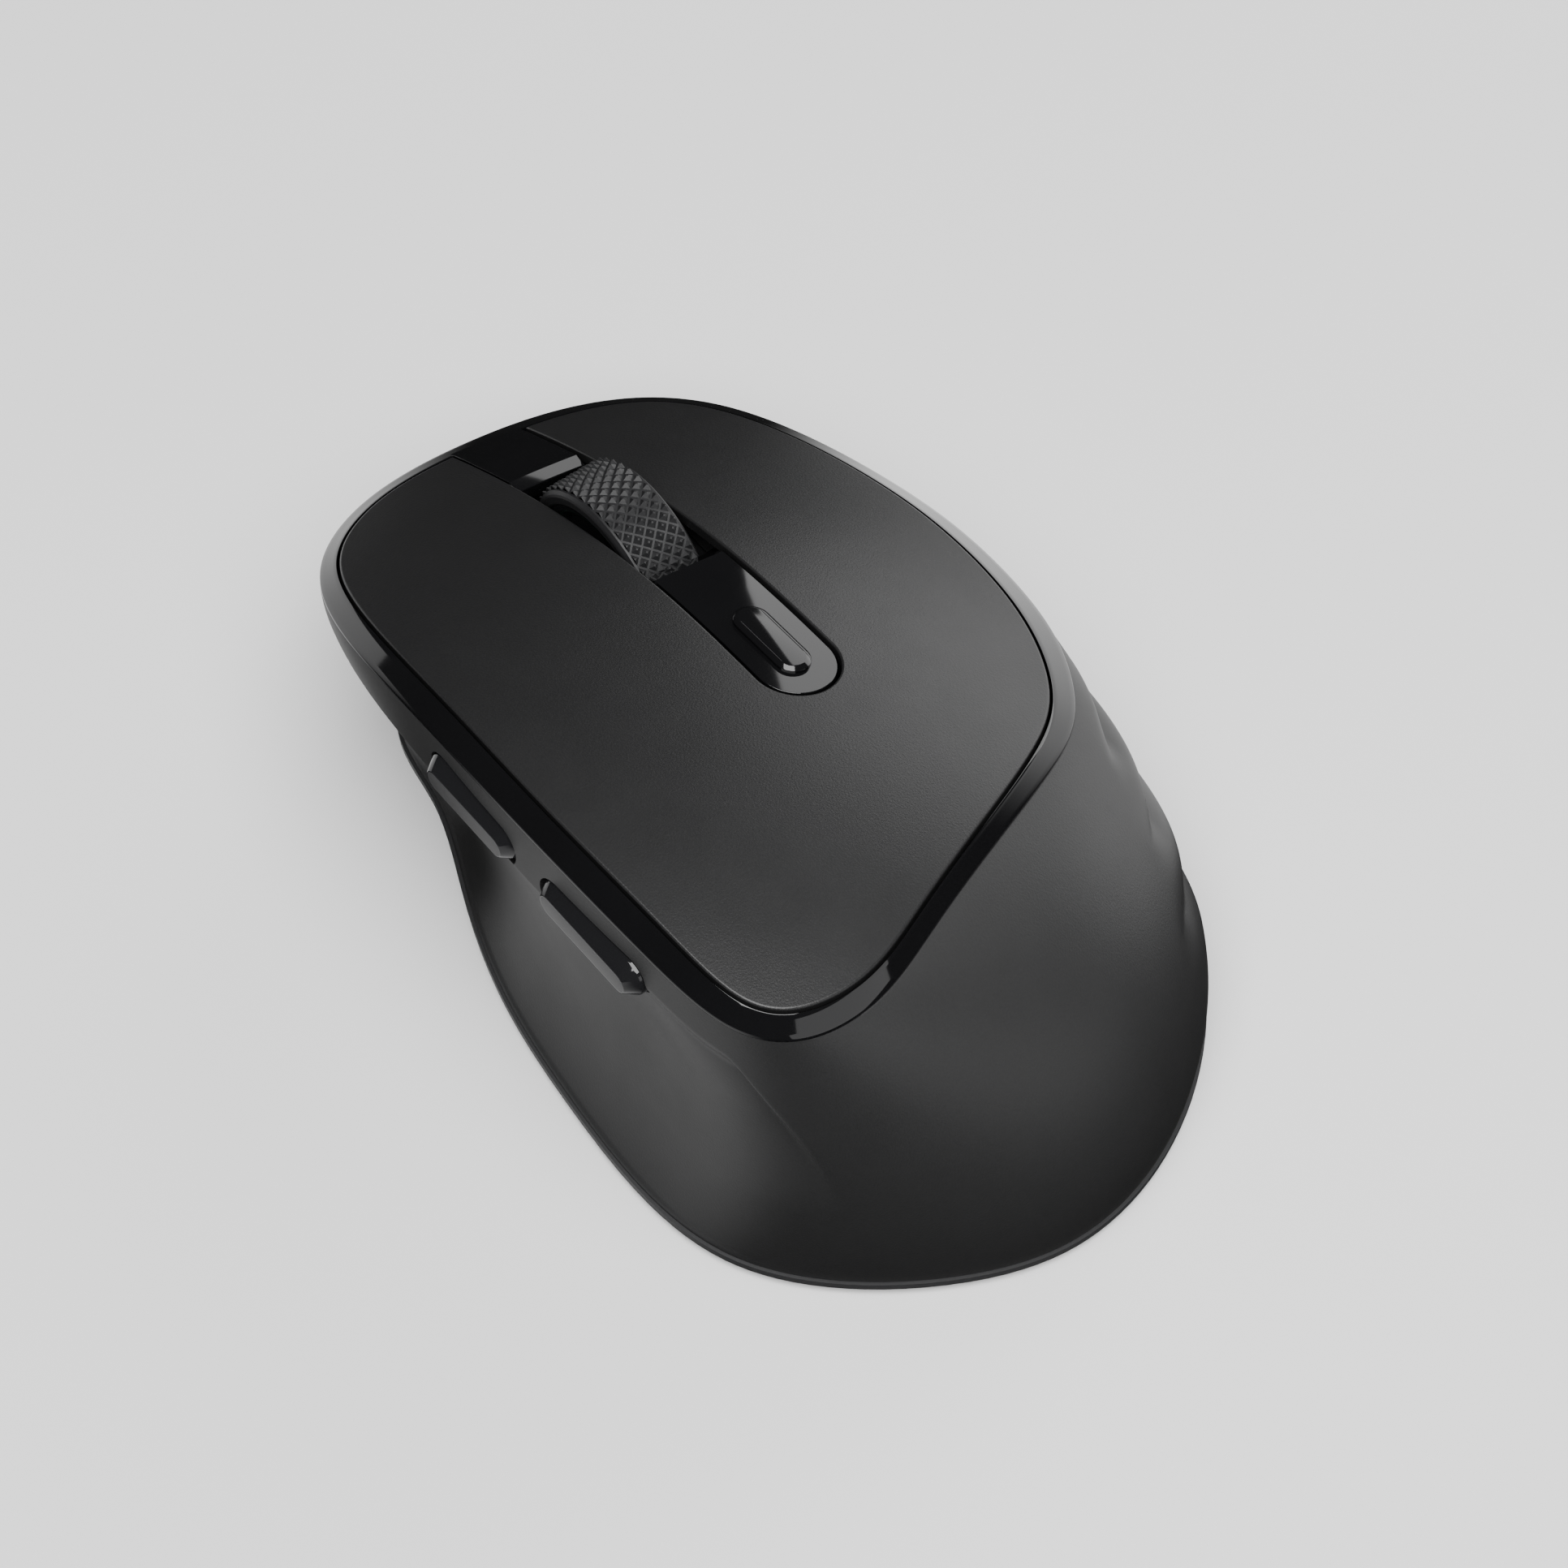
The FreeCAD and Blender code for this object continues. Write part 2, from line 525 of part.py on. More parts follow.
def side_bracket():
    x0 = SIDE_BOARD_X + 1.25
    plate = box(x0, x0 + 1.6, -15.5, 8.5, 30.0, 42.0)
    legs = [box(x0, x0 + 1.6, y, y + 3.0, BASE_TOP + 0.05, 31.0) for y in (-15.5, 5.5)]
    feet = [box(x0, x0 + 4.0, y, y + 3.0, BASE_TOP + 0.05, BASE_TOP + 1.6) for y in (-15.5, 5.5)]
    return fused(plate, *legs, *feet)


NODES["side_bracket"] = side_bracket()


# --- scroll wheel --------------------------------------------------------------------------------
def revolved(points):
    """Ring about the wheel axis from (x, radius) corner points."""
    corners = [FreeCAD.Vector(x, WHEEL_Y, WHEEL_Z + r) for x, r in points]
    face = Part.Face(Part.makePolygon(corners + corners[:1]))
    return face.revolve(FreeCAD.Vector(0, WHEEL_Y, WHEEL_Z), X_AXIS, 360)


HALF = WHEEL_WIDTH / 2.0
TYRE_INNER = WHEEL_RADIUS - 2.2
NODES["scroll_tyre"] = revolved([
    (-HALF, TYRE_INNER), (-HALF, WHEEL_RADIUS - 0.9), (-HALF + 0.35, WHEEL_RADIUS - 0.35),
    (-HALF + 0.9, WHEEL_RADIUS), (HALF - 0.9, WHEEL_RADIUS), (HALF - 0.35, WHEEL_RADIUS - 0.35),
    (HALF, WHEEL_RADIUS - 0.9), (HALF, TYRE_INNER)])
HUB_RIM = TYRE_INNER - 0.02
NODES["wheel_hub"] = revolved([
    (-HALF + 0.3, HUB_RIM), (-HALF + 0.3, HUB_RIM - 1.0), (-HALF + 1.5, HUB_RIM - 2.2),
    (-HALF + 1.5, 3.6), (-HALF - 0.6, 3.0), (-HALF - 0.6, AXLE_RADIUS + 0.02),
    (HALF + 0.6, AXLE_RADIUS + 0.02), (HALF + 0.6, 3.0), (HALF - 1.5, 3.6),
    (HALF - 1.5, HUB_RIM - 2.2), (HALF - 0.3, HUB_RIM - 1.0), (HALF - 0.3, HUB_RIM)])
NODES["wheel_axle"] = cross_rod(AXLE_RADIUS, -8.2, 10.2, WHEEL_Y, WHEEL_Z)

PIVOT_Y = 43.2
PIVOT_Z = 21.4
MIDDLE_Y = 9.0
MIDDLE_STEM = SWITCH_TOP + 0.75


def wheel_cradle():
    """Yoke that carries the axle, pivots at the nose and presses the middle switch."""
    arms = []
    for x0 in (-7.4, 5.9):
        corners = [(PIVOT_Y + 1.8, 19.9), (PIVOT_Y + 1.8, 22.9), (WHEEL_Y + 6.5, 27.5), (WHEEL_Y + 2.5, 31.2),
                   (WHEEL_Y - 2.0, 31.6), (MIDDLE_Y - 2.0, 31.6), (MIDDLE_Y - 2.0, MIDDLE_STEM),
                   (MIDDLE_Y + 4.5, MIDDLE_STEM), (WHEEL_Y - 4.0, 24.5), (PIVOT_Y - 5.0, 19.9)]
        points = [FreeCAD.Vector(x0, y, z) for y, z in corners]
        arms.append(Part.Face(Part.makePolygon(points + points[:1])).extrude(FreeCAD.Vector(1.5, 0, 0)))
    bar = box(-7.0, 7.0, MIDDLE_Y - 2.0, MIDDLE_Y + 2.0, MIDDLE_STEM, 31.6)
    yoke = fused(arms[0], arms[1], bar)
    yoke = yoke.cut(cross_rod(AXLE_RADIUS + AXLE_CLEARANCE, -9, 9, WHEEL_Y, WHEEL_Z))
    return yoke.cut(cross_rod(1.06, -9, 9, PIVOT_Y, PIVOT_Z))


NODES["wheel_cradle"] = wheel_cradle()
NODES["cradle_pin"] = cross_rod(1.0, -9.6, 9.6, PIVOT_Y, PIVOT_Z)


def encoder():
    housing = box(7.5, 11.0, WHEEL_Y - 5.5, WHEEL_Y + 4.5, WHEEL_Z - 3.1, WHEEL_Z + 2.5)
    return housing.cut(cross_rod(AXLE_RADIUS + AXLE_CLEARANCE, 7, 10.4, WHEEL_Y, WHEEL_Z))


NODES["wheel_encoder"] = encoder()


# --- switches on the upper board -----------------------------------------------------------------
def key_switch(x, y, turned=False):
    sx, sy, sz = SWITCH_SIZE
    if turned:
        sx, sy = sy, sx
    z = UPPER_BOARD_Z + BOARD_THICKNESS
    body = box(x - sx / 2, x + sx / 2, y - sy / 2, y + sy / 2, z, z + sz)
    return body.cut(box(x - 1.2, x + 1.2, y - 1.7, y + 1.7, z + sz - 2.6, z + sz + 1))


def key_plunger(x, y, foot, head):
    return box(x - 0.8, x + 0.8, y - 1.1, y + 1.1, foot, head)


PLUNGER_FOOT = SWITCH_TOP - 1.3
PLUNGER_HEAD = SWITCH_TOP + 0.72
NODES["left_switch"] = key_switch(-SWITCH_X, SWITCH_Y)
NODES["right_switch"] = key_switch(SWITCH_X, SWITCH_Y)
NODES["middle_switch"] = key_switch(0.0, MIDDLE_Y, True)
NODES["left_plunger"] = key_plunger(-SWITCH_X, SWITCH_Y, PLUNGER_FOOT, PLUNGER_HEAD)
NODES["right_plunger"] = key_plunger(SWITCH_X, SWITCH_Y, PLUNGER_FOOT, PLUNGER_HEAD)
NODES["middle_plunger"] = key_plunger(0.0, MIDDLE_Y, PLUNGER_FOOT, PLUNGER_HEAD)


# --- circuit boards ------------------------------------------------------------------------------
UPPER_TOP = UPPER_BOARD_Z + BOARD_THICKNESS
MAIN_TOP = MAIN_BOARD_Z + BOARD_THICKNESS
POSTS = [(-18.0, 1.0), (18.0, 1.0), (-18.0, 40.0), (18.0, 40.0)]
BOARD_SPOTS = [(-11.5, -9.0), (11.5, -9.0), (-11.5, 38.0), (11.5, 38.0)]


def upper_board():
    plate = box(-20.5, 20.5, -7.0, 45.5, UPPER_BOARD_Z, UPPER_TOP)
    plate = plate.cut(box(-5.0, 5.0, WHEEL_Y - 10.5, WHEEL_Y + 10.5, 0, 40))
    for x, y in POSTS:
        plate = plate.cut(rod(1.2, x, y, 0, 40))
    return plate


def main_board():
    plate = box(-14.5, 14.5, -12.5, 41.0, MAIN_BOARD_Z, MAIN_TOP)
    for x, y in BOARD_SPOTS:
        plate = plate.cut(rod(1.2, x, y, 0, 40))
    return plate.cut(rod(3.4, 0.0, 6.0, 0, 40))


def pivot_posts():
    posts = []
    for x in (-9.2, 7.6):
        block = box(x, x + 1.6, PIVOT_Y - 2.0, PIVOT_Y + 2.0, UPPER_TOP, PIVOT_Z + 2.0)
        posts.append(block.cut(cross_rod(1.02, -12, 12, PIVOT_Y, PIVOT_Z)))
    return Part.makeCompound(posts)


NODES["upper_board"] = upper_board()
NODES["main_board"] = main_board()
NODES["pivot_posts"] = pivot_posts()


def screw(x, y, z, length, head=2.1, upward=True):
    """Small screw: head under z when it points up, over z when it points down."""
    if upward:
        return rod(head, x, y, z - 1.2, z).fuse(rod(1.1, x, y, z, z + length)).cut(
            rod(0.9, x, y, z - 1.3, z - 0.7))
    return rod(head, x, y, z, z + 1.2).fuse(rod(1.1, x, y, z - length, z)).cut(
        rod(0.9, x, y, z + 0.7, z + 1.3))


NODES["case_screws"] = Part.makeCompound([screw(x, y, 2.45, 8.5) for x, y in SCREW_SPOTS])
NODES["upper_board_screws"] = Part.makeCompound([screw(x, y, UPPER_TOP, 5.0, 1.9, False) for x, y in POSTS])
NODES["main_board_screws"] = Part.makeCompound([screw(x, y, MAIN_TOP, 4.0, 1.9, False) for x, y in BOARD_SPOTS])


# --- electronics on the main board ---------------------------------------------------------------
def optical_sensor():
    chip = box(-4.6, 4.6, -2.0, 14.0, MAIN_TOP + 0.02, MAIN_TOP + 2.3)
    snout = rod(3.1, 0.0, 6.0, MAIN_BOARD_Z - 0.6, MAIN_TOP + 1.0)
    return fused(chip, snout)


def sensor_lens():
    plate = box(-6.5, 6.5, -3.0, 16.0, BASE_TOP + 0.3, BASE_TOP + 1.5)
    collar = rod(4.0, 0.0, 6.0, BASE_TOP + 0.3, MAIN_BOARD_Z - 0.7)
    tube = rod(3.6, 0.0, 6.0, BASE_BOTTOM + 0.5, BASE_TOP + 1.0)
    return fused(plate, collar, tube).cut(Part.makeCone(1.2, 2.4, 1.2, FreeCAD.Vector(0, 6.0, BASE_BOTTOM + 0.5)))


NODES["optical_sensor"] = optical_sensor()
NODES["sensor_lens"] = sensor_lens()
NODES["controller_chip"] = box(-4.0, 4.0, 20.0, 28.0, MAIN_TOP + 0.02, MAIN_TOP + 0.95)
NODES["crystal"] = pill(7.0, 3.0, -10.0, 22.0, MAIN_TOP + 0.02, MAIN_TOP + 2.2)
NODES["capacitor"] = rod(2.5, 10.5, 12.0, MAIN_TOP + 0.02, MAIN_TOP + 8.0)


def connectors():
    low = box(-13.5, -6.5, -4.5, -1.5, MAIN_TOP, MAIN_TOP + 2.2)
    high = box(-13.5, -6.5, -4.5, -1.5, UPPER_BOARD_Z - 2.2, UPPER_BOARD_Z)
    return Part.makeCompound([low, high])


NODES["ribbon_connectors"] = connectors()
NODES["board_ribbon"] = box(-13.0, -7.0, -3.15, -2.85, MAIN_TOP + 2.25, UPPER_BOARD_Z - 2.25)


# --- power switch --------------------------------------------------------------------------------
POWER_Y = 29.0


def power_switch():
    housing = box(-5.0, 5.0, POWER_Y - 2.2, POWER_Y + 2.2, 3.6, MAIN_BOARD_Z)
    return housing.cut(box(-3.4, 3.4, POWER_Y - 1.0, POWER_Y + 1.0, 3.0, 5.4))


def power_slider():
    knob = box(-4.6, 1.4, POWER_Y - 2.0, POWER_Y + 2.0, BASE_BOTTOM + 0.15, BASE_TOP)
    ribs = [box(x, x + 0.6, POWER_Y - 3, POWER_Y + 3, 0, BASE_BOTTOM + 0.5) for x in (-3.7, -1.9, -0.1)]
    flange = box(-5.6, 2.4, POWER_Y - 3.0, POWER_Y + 3.0, BASE_TOP + 0.08, BASE_TOP + 0.9)
    lever = box(-2.3, -0.9, POWER_Y - 0.7, POWER_Y + 0.7, BASE_TOP + 0.5, 4.9)
    neck = box(-4.6, 1.4, POWER_Y - 2.0, POWER_Y + 2.0, BASE_TOP - 0.2, BASE_TOP + 0.3)
    return fused(knob, neck, flange, lever).cut(Part.makeCompound(ribs))


NODES["power_switch"] = power_switch()
NODES["power_slider"] = power_slider()


# --- battery bay ---------------------------------------------------------------------------------
DOOR = (-28.5 * SX, 28.5 * SX, -46.0 * SY, -17.2 * SY)
DOOR_GAP = 0.25
DOOR_CORNER = (7.0, 8.0)      # cut off both rear corners, which follow the heel
BAY_FRONT = CELL_Y + 9.2
BAY_REAR = CELL_Y - 9.2


def door_prism(grow, z0, z1):
    """Rectangle with its two rear corners cut off, grown all round and raised."""
    x0, x1, y0, y1 = DOOR
    cx, cy = DOOR_CORNER
    points = [(x0, y1), (x0, y0 + cy), (x0 + cx, y0), (x1 - cx, y0), (x1, y0 + cy), (x1, y1), (x0, y1)]
    outline = Part.makePolygon([FreeCAD.Vector(x, y, z0) for x, y in points])
    if grow:
        outline = outline.makeOffset2D(grow, 2)
    return Part.Face(outline).extrude(FreeCAD.Vector(0.0, 0.0, z1 - z0))


def battery_door():
    x0, x1, y0, y1 = DOOR
    plate = door_prism(0.0, BASE_BOTTOM + 0.05, BASE_TOP)
    tabs = [box(x - 3.0, x + 3.0, y1 - 2.5, y1 + 1.4, BASE_TOP + 0.15, BASE_TOP + 1.2) for x in (-17.0, 17.0)]
    necks = [box(x - 3.0, x + 3.0, y1 - 2.5, y1 - 0.6, BASE_TOP - 0.2, BASE_TOP + 0.3) for x in (-17.0, 17.0)]
    tongue = box(-5.0, 5.0, y0 + 0.3, y0 + 1.3, BASE_TOP - 0.2, BASE_TOP + 2.2)
    grips = [box(-6.0, 6.0, y0 + 4.0 + 1.4 * k, y0 + 4.6 + 1.4 * k, 0.0, BASE_BOTTOM + 0.35) for k in range(4)]
    return fused(plate, tongue, *tabs, *necks).cut(Part.makeCompound(grips))


NODES["battery_door"] = battery_door()
CELL_X0 = -23.2
CELL_X1 = 26.0
NODES["battery"] = cross_rod(CELL_RADIUS, CELL_X0, CELL_X1, CELL_Y, CELL_Z).fuse(
    cross_rod(2.7, CELL_X1, CELL_X1 + 1.2, CELL_Y, CELL_Z))


def battery_spring():
    """Coil with its back plate at the flat end of the cell."""
    plate = box(-28.6, -28.15, CELL_Y - 4.5, CELL_Y + 4.5, CELL_Z - 5.0, CELL_Z + 5.5)
    wire = 0.45
    helix = Part.makeHelix(1.35, 4.1, 3.0)
    start = helix.Edges[0].valueAt(helix.Edges[0].FirstParameter)
    profile = Part.Wire([Part.makeCircle(wire, start, FreeCAD.Vector(0, 1, 0.15))])
    coil = Part.Wire(helix.Edges).makePipeShell([profile], True, True)
    coil.rotate(FreeCAD.Vector(0, 0, 0), Y_AXIS, 90)
    coil.translate(FreeCAD.Vector(-27.95, CELL_Y, CELL_Z))
    return plate.fuse(coil)


def battery_tab():
    plate = box(28.15, 28.6, CELL_Y - 4.5, CELL_Y + 4.5, CELL_Z - 5.0, CELL_Z + 5.5)
    return plate.fuse(cross_rod(1.8, 27.3, 28.3, CELL_Y, CELL_Z))


NODES["battery_spring"] = battery_spring()
NODES["battery_tab"] = battery_tab()

RECEIVER_Y = -41.2


def usb_receiver():
    """Plastic grip of the small receiver, stored on edge behind the cell."""
    grip = box(4.0, 11.0, RECEIVER_Y - 3.4, RECEIVER_Y + 3.4, 3.0, 18.0)
    grip = grip.makeFillet(1.2, grip.Edges)
    return grip.cut(box(3.0, 4.35, RECEIVER_Y - 2.3, RECEIVER_Y + 2.3, 4.4, 16.6))


def receiver_plug():
    shell = box(-8.0, 4.3, RECEIVER_Y - 2.25, RECEIVER_Y + 2.25, 4.5, 16.5)
    return shell.cut(box(-9.0, 2.0, RECEIVER_Y - 1.9, RECEIVER_Y + 1.9, 4.9, 16.1))


NODES["usb_receiver"] = usb_receiver()
NODES["receiver_plug"] = receiver_plug()


def wire_run(points, radius):
    path = Part.makePolygon([FreeCAD.Vector(*p) for p in points])
    start = FreeCAD.Vector(*points[0])
    direction = FreeCAD.Vector(*points[1]) - start
    profile = Part.Wire([Part.makeCircle(radius, start, direction)])
    return path.makePipeShell([profile], True, False, 2)


NODES["battery_wires"] = Part.makeCompound([
    wire_run([(28.0, CELL_Y, 15.4), (28.0, CELL_Y, 21.0), (12.0, -11.0, 15.0), (12.0, -5.0, MAIN_TOP + 0.7)], 0.6),
    wire_run([(-28.0, CELL_Y, 15.4), (-28.0, CELL_Y, 21.0), (-9.0, -11.0, 15.0), (-9.0, -7.5, MAIN_TOP + 0.7)], 0.6)])


# --- base ----------------------------------------------------------------------------------------
FOOT_PADS = [(26.0, 6.5, 2.0 * SX, 44.5 * SY), (26.0, 6.5, -3.0 * SX, -51.0 * SY)]


def base_plate():
    rows = [plan_row(5, -0.2, lambda x, y: BASE_BOTTOM), plan_row(5, 0.4, lambda x, y: BASE_BOTTOM + 0.6),
            plan_row(5, 0.4, lambda x, y: BASE_TOP)]
    plate = stacked(rows)
    x0, x1, y0, y1 = DOOR
    plate = plate.cut(door_prism(DOOR_GAP, 0.0, 5.0))
    inside = core(WALL + 0.3)
    extras = [box(-30.2, 30.2, BAY_FRONT, BAY_FRONT + 1.3, BASE_TOP + 2.0, 14.0),
              box(-30.2, -28.75, BAY_REAR, BAY_FRONT + 1.3, BASE_TOP - 0.3, 14.0),
              box(28.75, 30.2, BAY_REAR, BAY_FRONT + 1.3, BASE_TOP - 0.3, 14.0),
              box(-10.0, 13.0, y0 - 1.6, y0 - 0.3, BASE_TOP - 0.3, 14.0)]
    for x, y in BOARD_SPOTS:
        extras.append(rod(2.2, x, y, BASE_TOP - 0.3, MAIN_BOARD_Z))
    for x, y in POSTS:
        extras.append(rod(2.2, x, y, BASE_TOP - 0.3, UPPER_BOARD_Z))
    for x, y in SCREW_SPOTS:
        extras.append(rod(3.2, x, y, BASE_TOP - 0.3, 4.6))
    for part in extras:
        plate = plate.fuse(part.common(inside))
    for x, y in BOARD_SPOTS:
        plate = plate.cut(rod(1.15, x, y, 3.0, 12.0))
    for x, y in POSTS:
        plate = plate.cut(rod(1.15, x, y, UPPER_BOARD_Z - 6.0, 30.0))
    for x, y in SCREW_SPOTS:
        plate = plate.cut(rod(2.3, x, y, 0.0, 2.5)).cut(rod(1.3, x, y, 0.0, 8.0))
    for length, width, x, y in FOOT_PADS:
        plate = plate.cut(pill(length + 0.3, width + 0.3, x, y, 0.0, FOOT_THICKNESS + 0.02, X_AXIS, Y_AXIS))
    plate = plate.cut(rod(3.9, 0.0, 6.0, 0.0, 5.0))
    plate = plate.cut(box(-5.0, 4.8, POWER_Y - 2.25, POWER_Y + 2.25, 0.0, 5.0))
    return plate.cut(box(-11.2, 11.2, 12.0, 23.0, 0.0, BASE_BOTTOM + 0.12))


NODES["base_plate"] = base_plate()
for name, (length, width, x, y) in zip(("front_foot", "rear_foot"), FOOT_PADS):
    NODES[name] = pill(length, width, x, y, 0.0, FOOT_THICKNESS, X_AXIS, Y_AXIS)
NODES["rating_label"] = box(-11.0, 11.0, 12.2, 22.8, BASE_BOTTOM, BASE_BOTTOM + 0.1)

os.makedirs("parts", exist_ok=True)
for name, shape in NODES.items():
    shape.translate(FreeCAD.Vector(0.0, FORWARD, 0.0))
    shape.exportStep("parts/" + name + ".step")
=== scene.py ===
import math

import bmesh
import bpy
import numpy as np
from mathutils import Matrix, Vector
from mathutils.geometry import delaunay_2d_cdt


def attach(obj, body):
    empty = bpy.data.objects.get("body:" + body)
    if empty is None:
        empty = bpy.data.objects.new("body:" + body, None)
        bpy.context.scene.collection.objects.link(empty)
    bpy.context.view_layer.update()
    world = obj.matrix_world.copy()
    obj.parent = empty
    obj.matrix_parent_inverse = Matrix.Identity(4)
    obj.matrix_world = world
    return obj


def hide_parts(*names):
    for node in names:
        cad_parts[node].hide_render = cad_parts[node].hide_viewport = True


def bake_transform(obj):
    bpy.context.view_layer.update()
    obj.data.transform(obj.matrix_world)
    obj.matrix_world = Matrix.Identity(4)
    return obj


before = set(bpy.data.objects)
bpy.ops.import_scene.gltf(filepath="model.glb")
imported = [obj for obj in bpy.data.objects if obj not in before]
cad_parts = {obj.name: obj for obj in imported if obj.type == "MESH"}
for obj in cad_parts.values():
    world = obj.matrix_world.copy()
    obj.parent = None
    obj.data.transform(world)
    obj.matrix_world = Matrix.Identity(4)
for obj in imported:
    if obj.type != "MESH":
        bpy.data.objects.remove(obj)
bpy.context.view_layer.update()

# === Base plate ==================================================================================
# The flat underside of the mouse: one ABS moulding with a matte spark-eroded finish, a thin lip
# that shows all round under the shell, and bosses for the boards. Four screws under the glide
# pads hold it to the shell.


def fine_grain_group():
    """Even, very fine moulded grain: a height for bump and a faint mottling value."""
    group = bpy.data.node_groups.new("fine grain", "ShaderNodeTree")
    for name, value in (("Scale", 5200.0), ("Mottle scale", 160.0)):
        socket = group.interface.new_socket(name=name, in_out="INPUT", socket_type="NodeSocketFloat")
        socket.default_value = value
    for name in ("Height", "Speckle", "Mottle"):
        group.interface.new_socket(name=name, in_out="OUTPUT", socket_type="NodeSocketFloat")
    nodes, links = group.nodes, group.links
    source, sink = nodes.new("NodeGroupInput"), nodes.new("NodeGroupOutput")
    place = nodes.new("ShaderNodeTexCoord")
    fine, cells, broad = (nodes.new("ShaderNodeTexNoise"), nodes.new("ShaderNodeTexVoronoi"),
                          nodes.new("ShaderNodeTexNoise"))
    fine.inputs["Detail"].default_value = 3.0
    broad.inputs["Detail"].default_value = 4.0
    blend = nodes.new("ShaderNodeMath")
    blend.operation = "MULTIPLY_ADD"
    blend.inputs[1].default_value = 0.5
    for node, name in ((fine, "Scale"), (cells, "Scale"), (broad, "Mottle scale")):
        links.new(place.outputs["Object"], node.inputs["Vector"])
        links.new(source.outputs[name], node.inputs["Scale"])
    links.new(cells.outputs["Distance"], blend.inputs[0])
    links.new(fine.outputs["Fac"], blend.inputs[2])
    links.new(blend.outputs[0], sink.inputs["Height"])
    links.new(fine.outputs["Fac"], sink.inputs["Speckle"])
    links.new(broad.outputs["Fac"], sink.inputs["Mottle"])
    return group


FINE_GRAIN = fine_grain_group()


def moulded(name, dark, light, roughness=(0.44, 0.56), grain=0.12, scale=5200.0, depth=0.00003,
            sheen=0.0):
    """Matte plastic straight from a textured mould."""
    material = bpy.data.materials.new(name)
    material.use_nodes = True
    nodes, links = material.node_tree.nodes, material.node_tree.links
    shader = nodes["Principled BSDF"]
    shader.inputs["IOR"].default_value = 1.48
    shader.inputs["Sheen Weight"].default_value = sheen
    surface = nodes.new("ShaderNodeGroup")
    surface.node_tree = FINE_GRAIN
    surface.inputs["Scale"].default_value = scale
    tint = nodes.new("ShaderNodeMix")
    tint.data_type = "RGBA"
    tint.inputs["A"].default_value = (*dark, 1.0)
    tint.inputs["B"].default_value = (*light, 1.0)
    spread = nodes.new("ShaderNodeMapRange")
    spread.inputs["To Min"].default_value, spread.inputs["To Max"].default_value = roughness
    bump = nodes.new("ShaderNodeBump")
    bump.inputs["Strength"].default_value = grain
    bump.inputs["Distance"].default_value = depth
    links.new(surface.outputs["Speckle"], tint.inputs["Factor"])
    links.new(surface.outputs["Mottle"], spread.inputs["Value"])
    links.new(surface.outputs["Height"], bump.inputs["Height"])
    links.new(tint.outputs["Result"], shader.inputs["Base Color"])
    links.new(spread.outputs["Result"], shader.inputs["Roughness"])
    links.new(bump.outputs["Normal"], shader.inputs["Normal"])
    return material


def dress(names, material):
    """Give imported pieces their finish."""
    for name in names:
        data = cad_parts[name].data
        data.materials.clear()
        data.materials.append(material)


BASE_PLASTIC = moulded("base plate plastic", (0.016, 0.016, 0.017), (0.026, 0.026, 0.027), (0.5, 0.62),
                       0.2, 3600.0)
dress(["base_plate"], BASE_PLASTIC)

# === Glide pads, label and door ==================================================================
# Two slippery PTFE pads stick in shallow recesses, and a blank satin label sits behind the sensor.
# The door over the cell is moulded like the base, with finger ribs and a snap tongue.
PAD_PLASTIC = moulded("glide pad ptfe", (0.02, 0.02, 0.022), (0.03, 0.03, 0.032), (0.3, 0.38), 0.06,
                      2600.0)
dress(["front_foot", "rear_foot"], PAD_PLASTIC)
LABEL_FILM = moulded("blank label film", (0.3, 0.3, 0.31), (0.36, 0.36, 0.37), (0.35, 0.42), 0.04, 4000.0)
dress(["rating_label"], LABEL_FILM)
DOOR_PLASTIC = moulded("door plastic", (0.016, 0.016, 0.017), (0.026, 0.026, 0.027), (0.48, 0.6), 0.2,
                       3600.0)
dress(["battery_door"], DOOR_PLASTIC)

# === Cell, contacts and receiver =================================================================
# An AA cell with a plain printed sleeve lies across the heel between a coiled spring and a nickel
# tab. The small USB receiver is stored on edge beside it.


def metal(name, colour, roughness=(0.22, 0.34), streak=900.0):
    """Bare plated or turned metal with faint tool streaks."""
    material = bpy.data.materials.new(name)
    material.use_nodes = True
    nodes, links = material.node_tree.nodes, material.node_tree.links
    shader = nodes["Principled BSDF"]
    shader.inputs["Metallic"].default_value = 1.0
    place, stretch = nodes.new("ShaderNodeTexCoord"), nodes.new("ShaderNodeMapping")
    stretch.inputs["Scale"].default_value = (1.0, 1.0, 6.0)
    noise, spread = nodes.new("ShaderNodeTexNoise"), nodes.new("ShaderNodeMapRange")
    noise.inputs["Scale"].default_value = streak
    spread.inputs["To Min"].default_value, spread.inputs["To Max"].default_value = roughness
    tint = nodes.new("ShaderNodeMix")
    tint.data_type = "RGBA"
    tint.inputs["A"].default_value = (*[0.8 * c for c in colour], 1.0)
    tint.inputs["B"].default_value = (*colour, 1.0)
    links.new(place.outputs["Object"], stretch.inputs["Vector"])
    links.new(stretch.outputs["Vector"], noise.inputs["Vector"])
    links.new(noise.outputs["Fac"], spread.inputs["Value"])
    links.new(noise.outputs["Fac"], tint.inputs["Factor"])
    links.new(spread.outputs["Result"], shader.inputs["Roughness"])
    links.new(tint.outputs["Result"], shader.inputs["Base Color"])
    return material


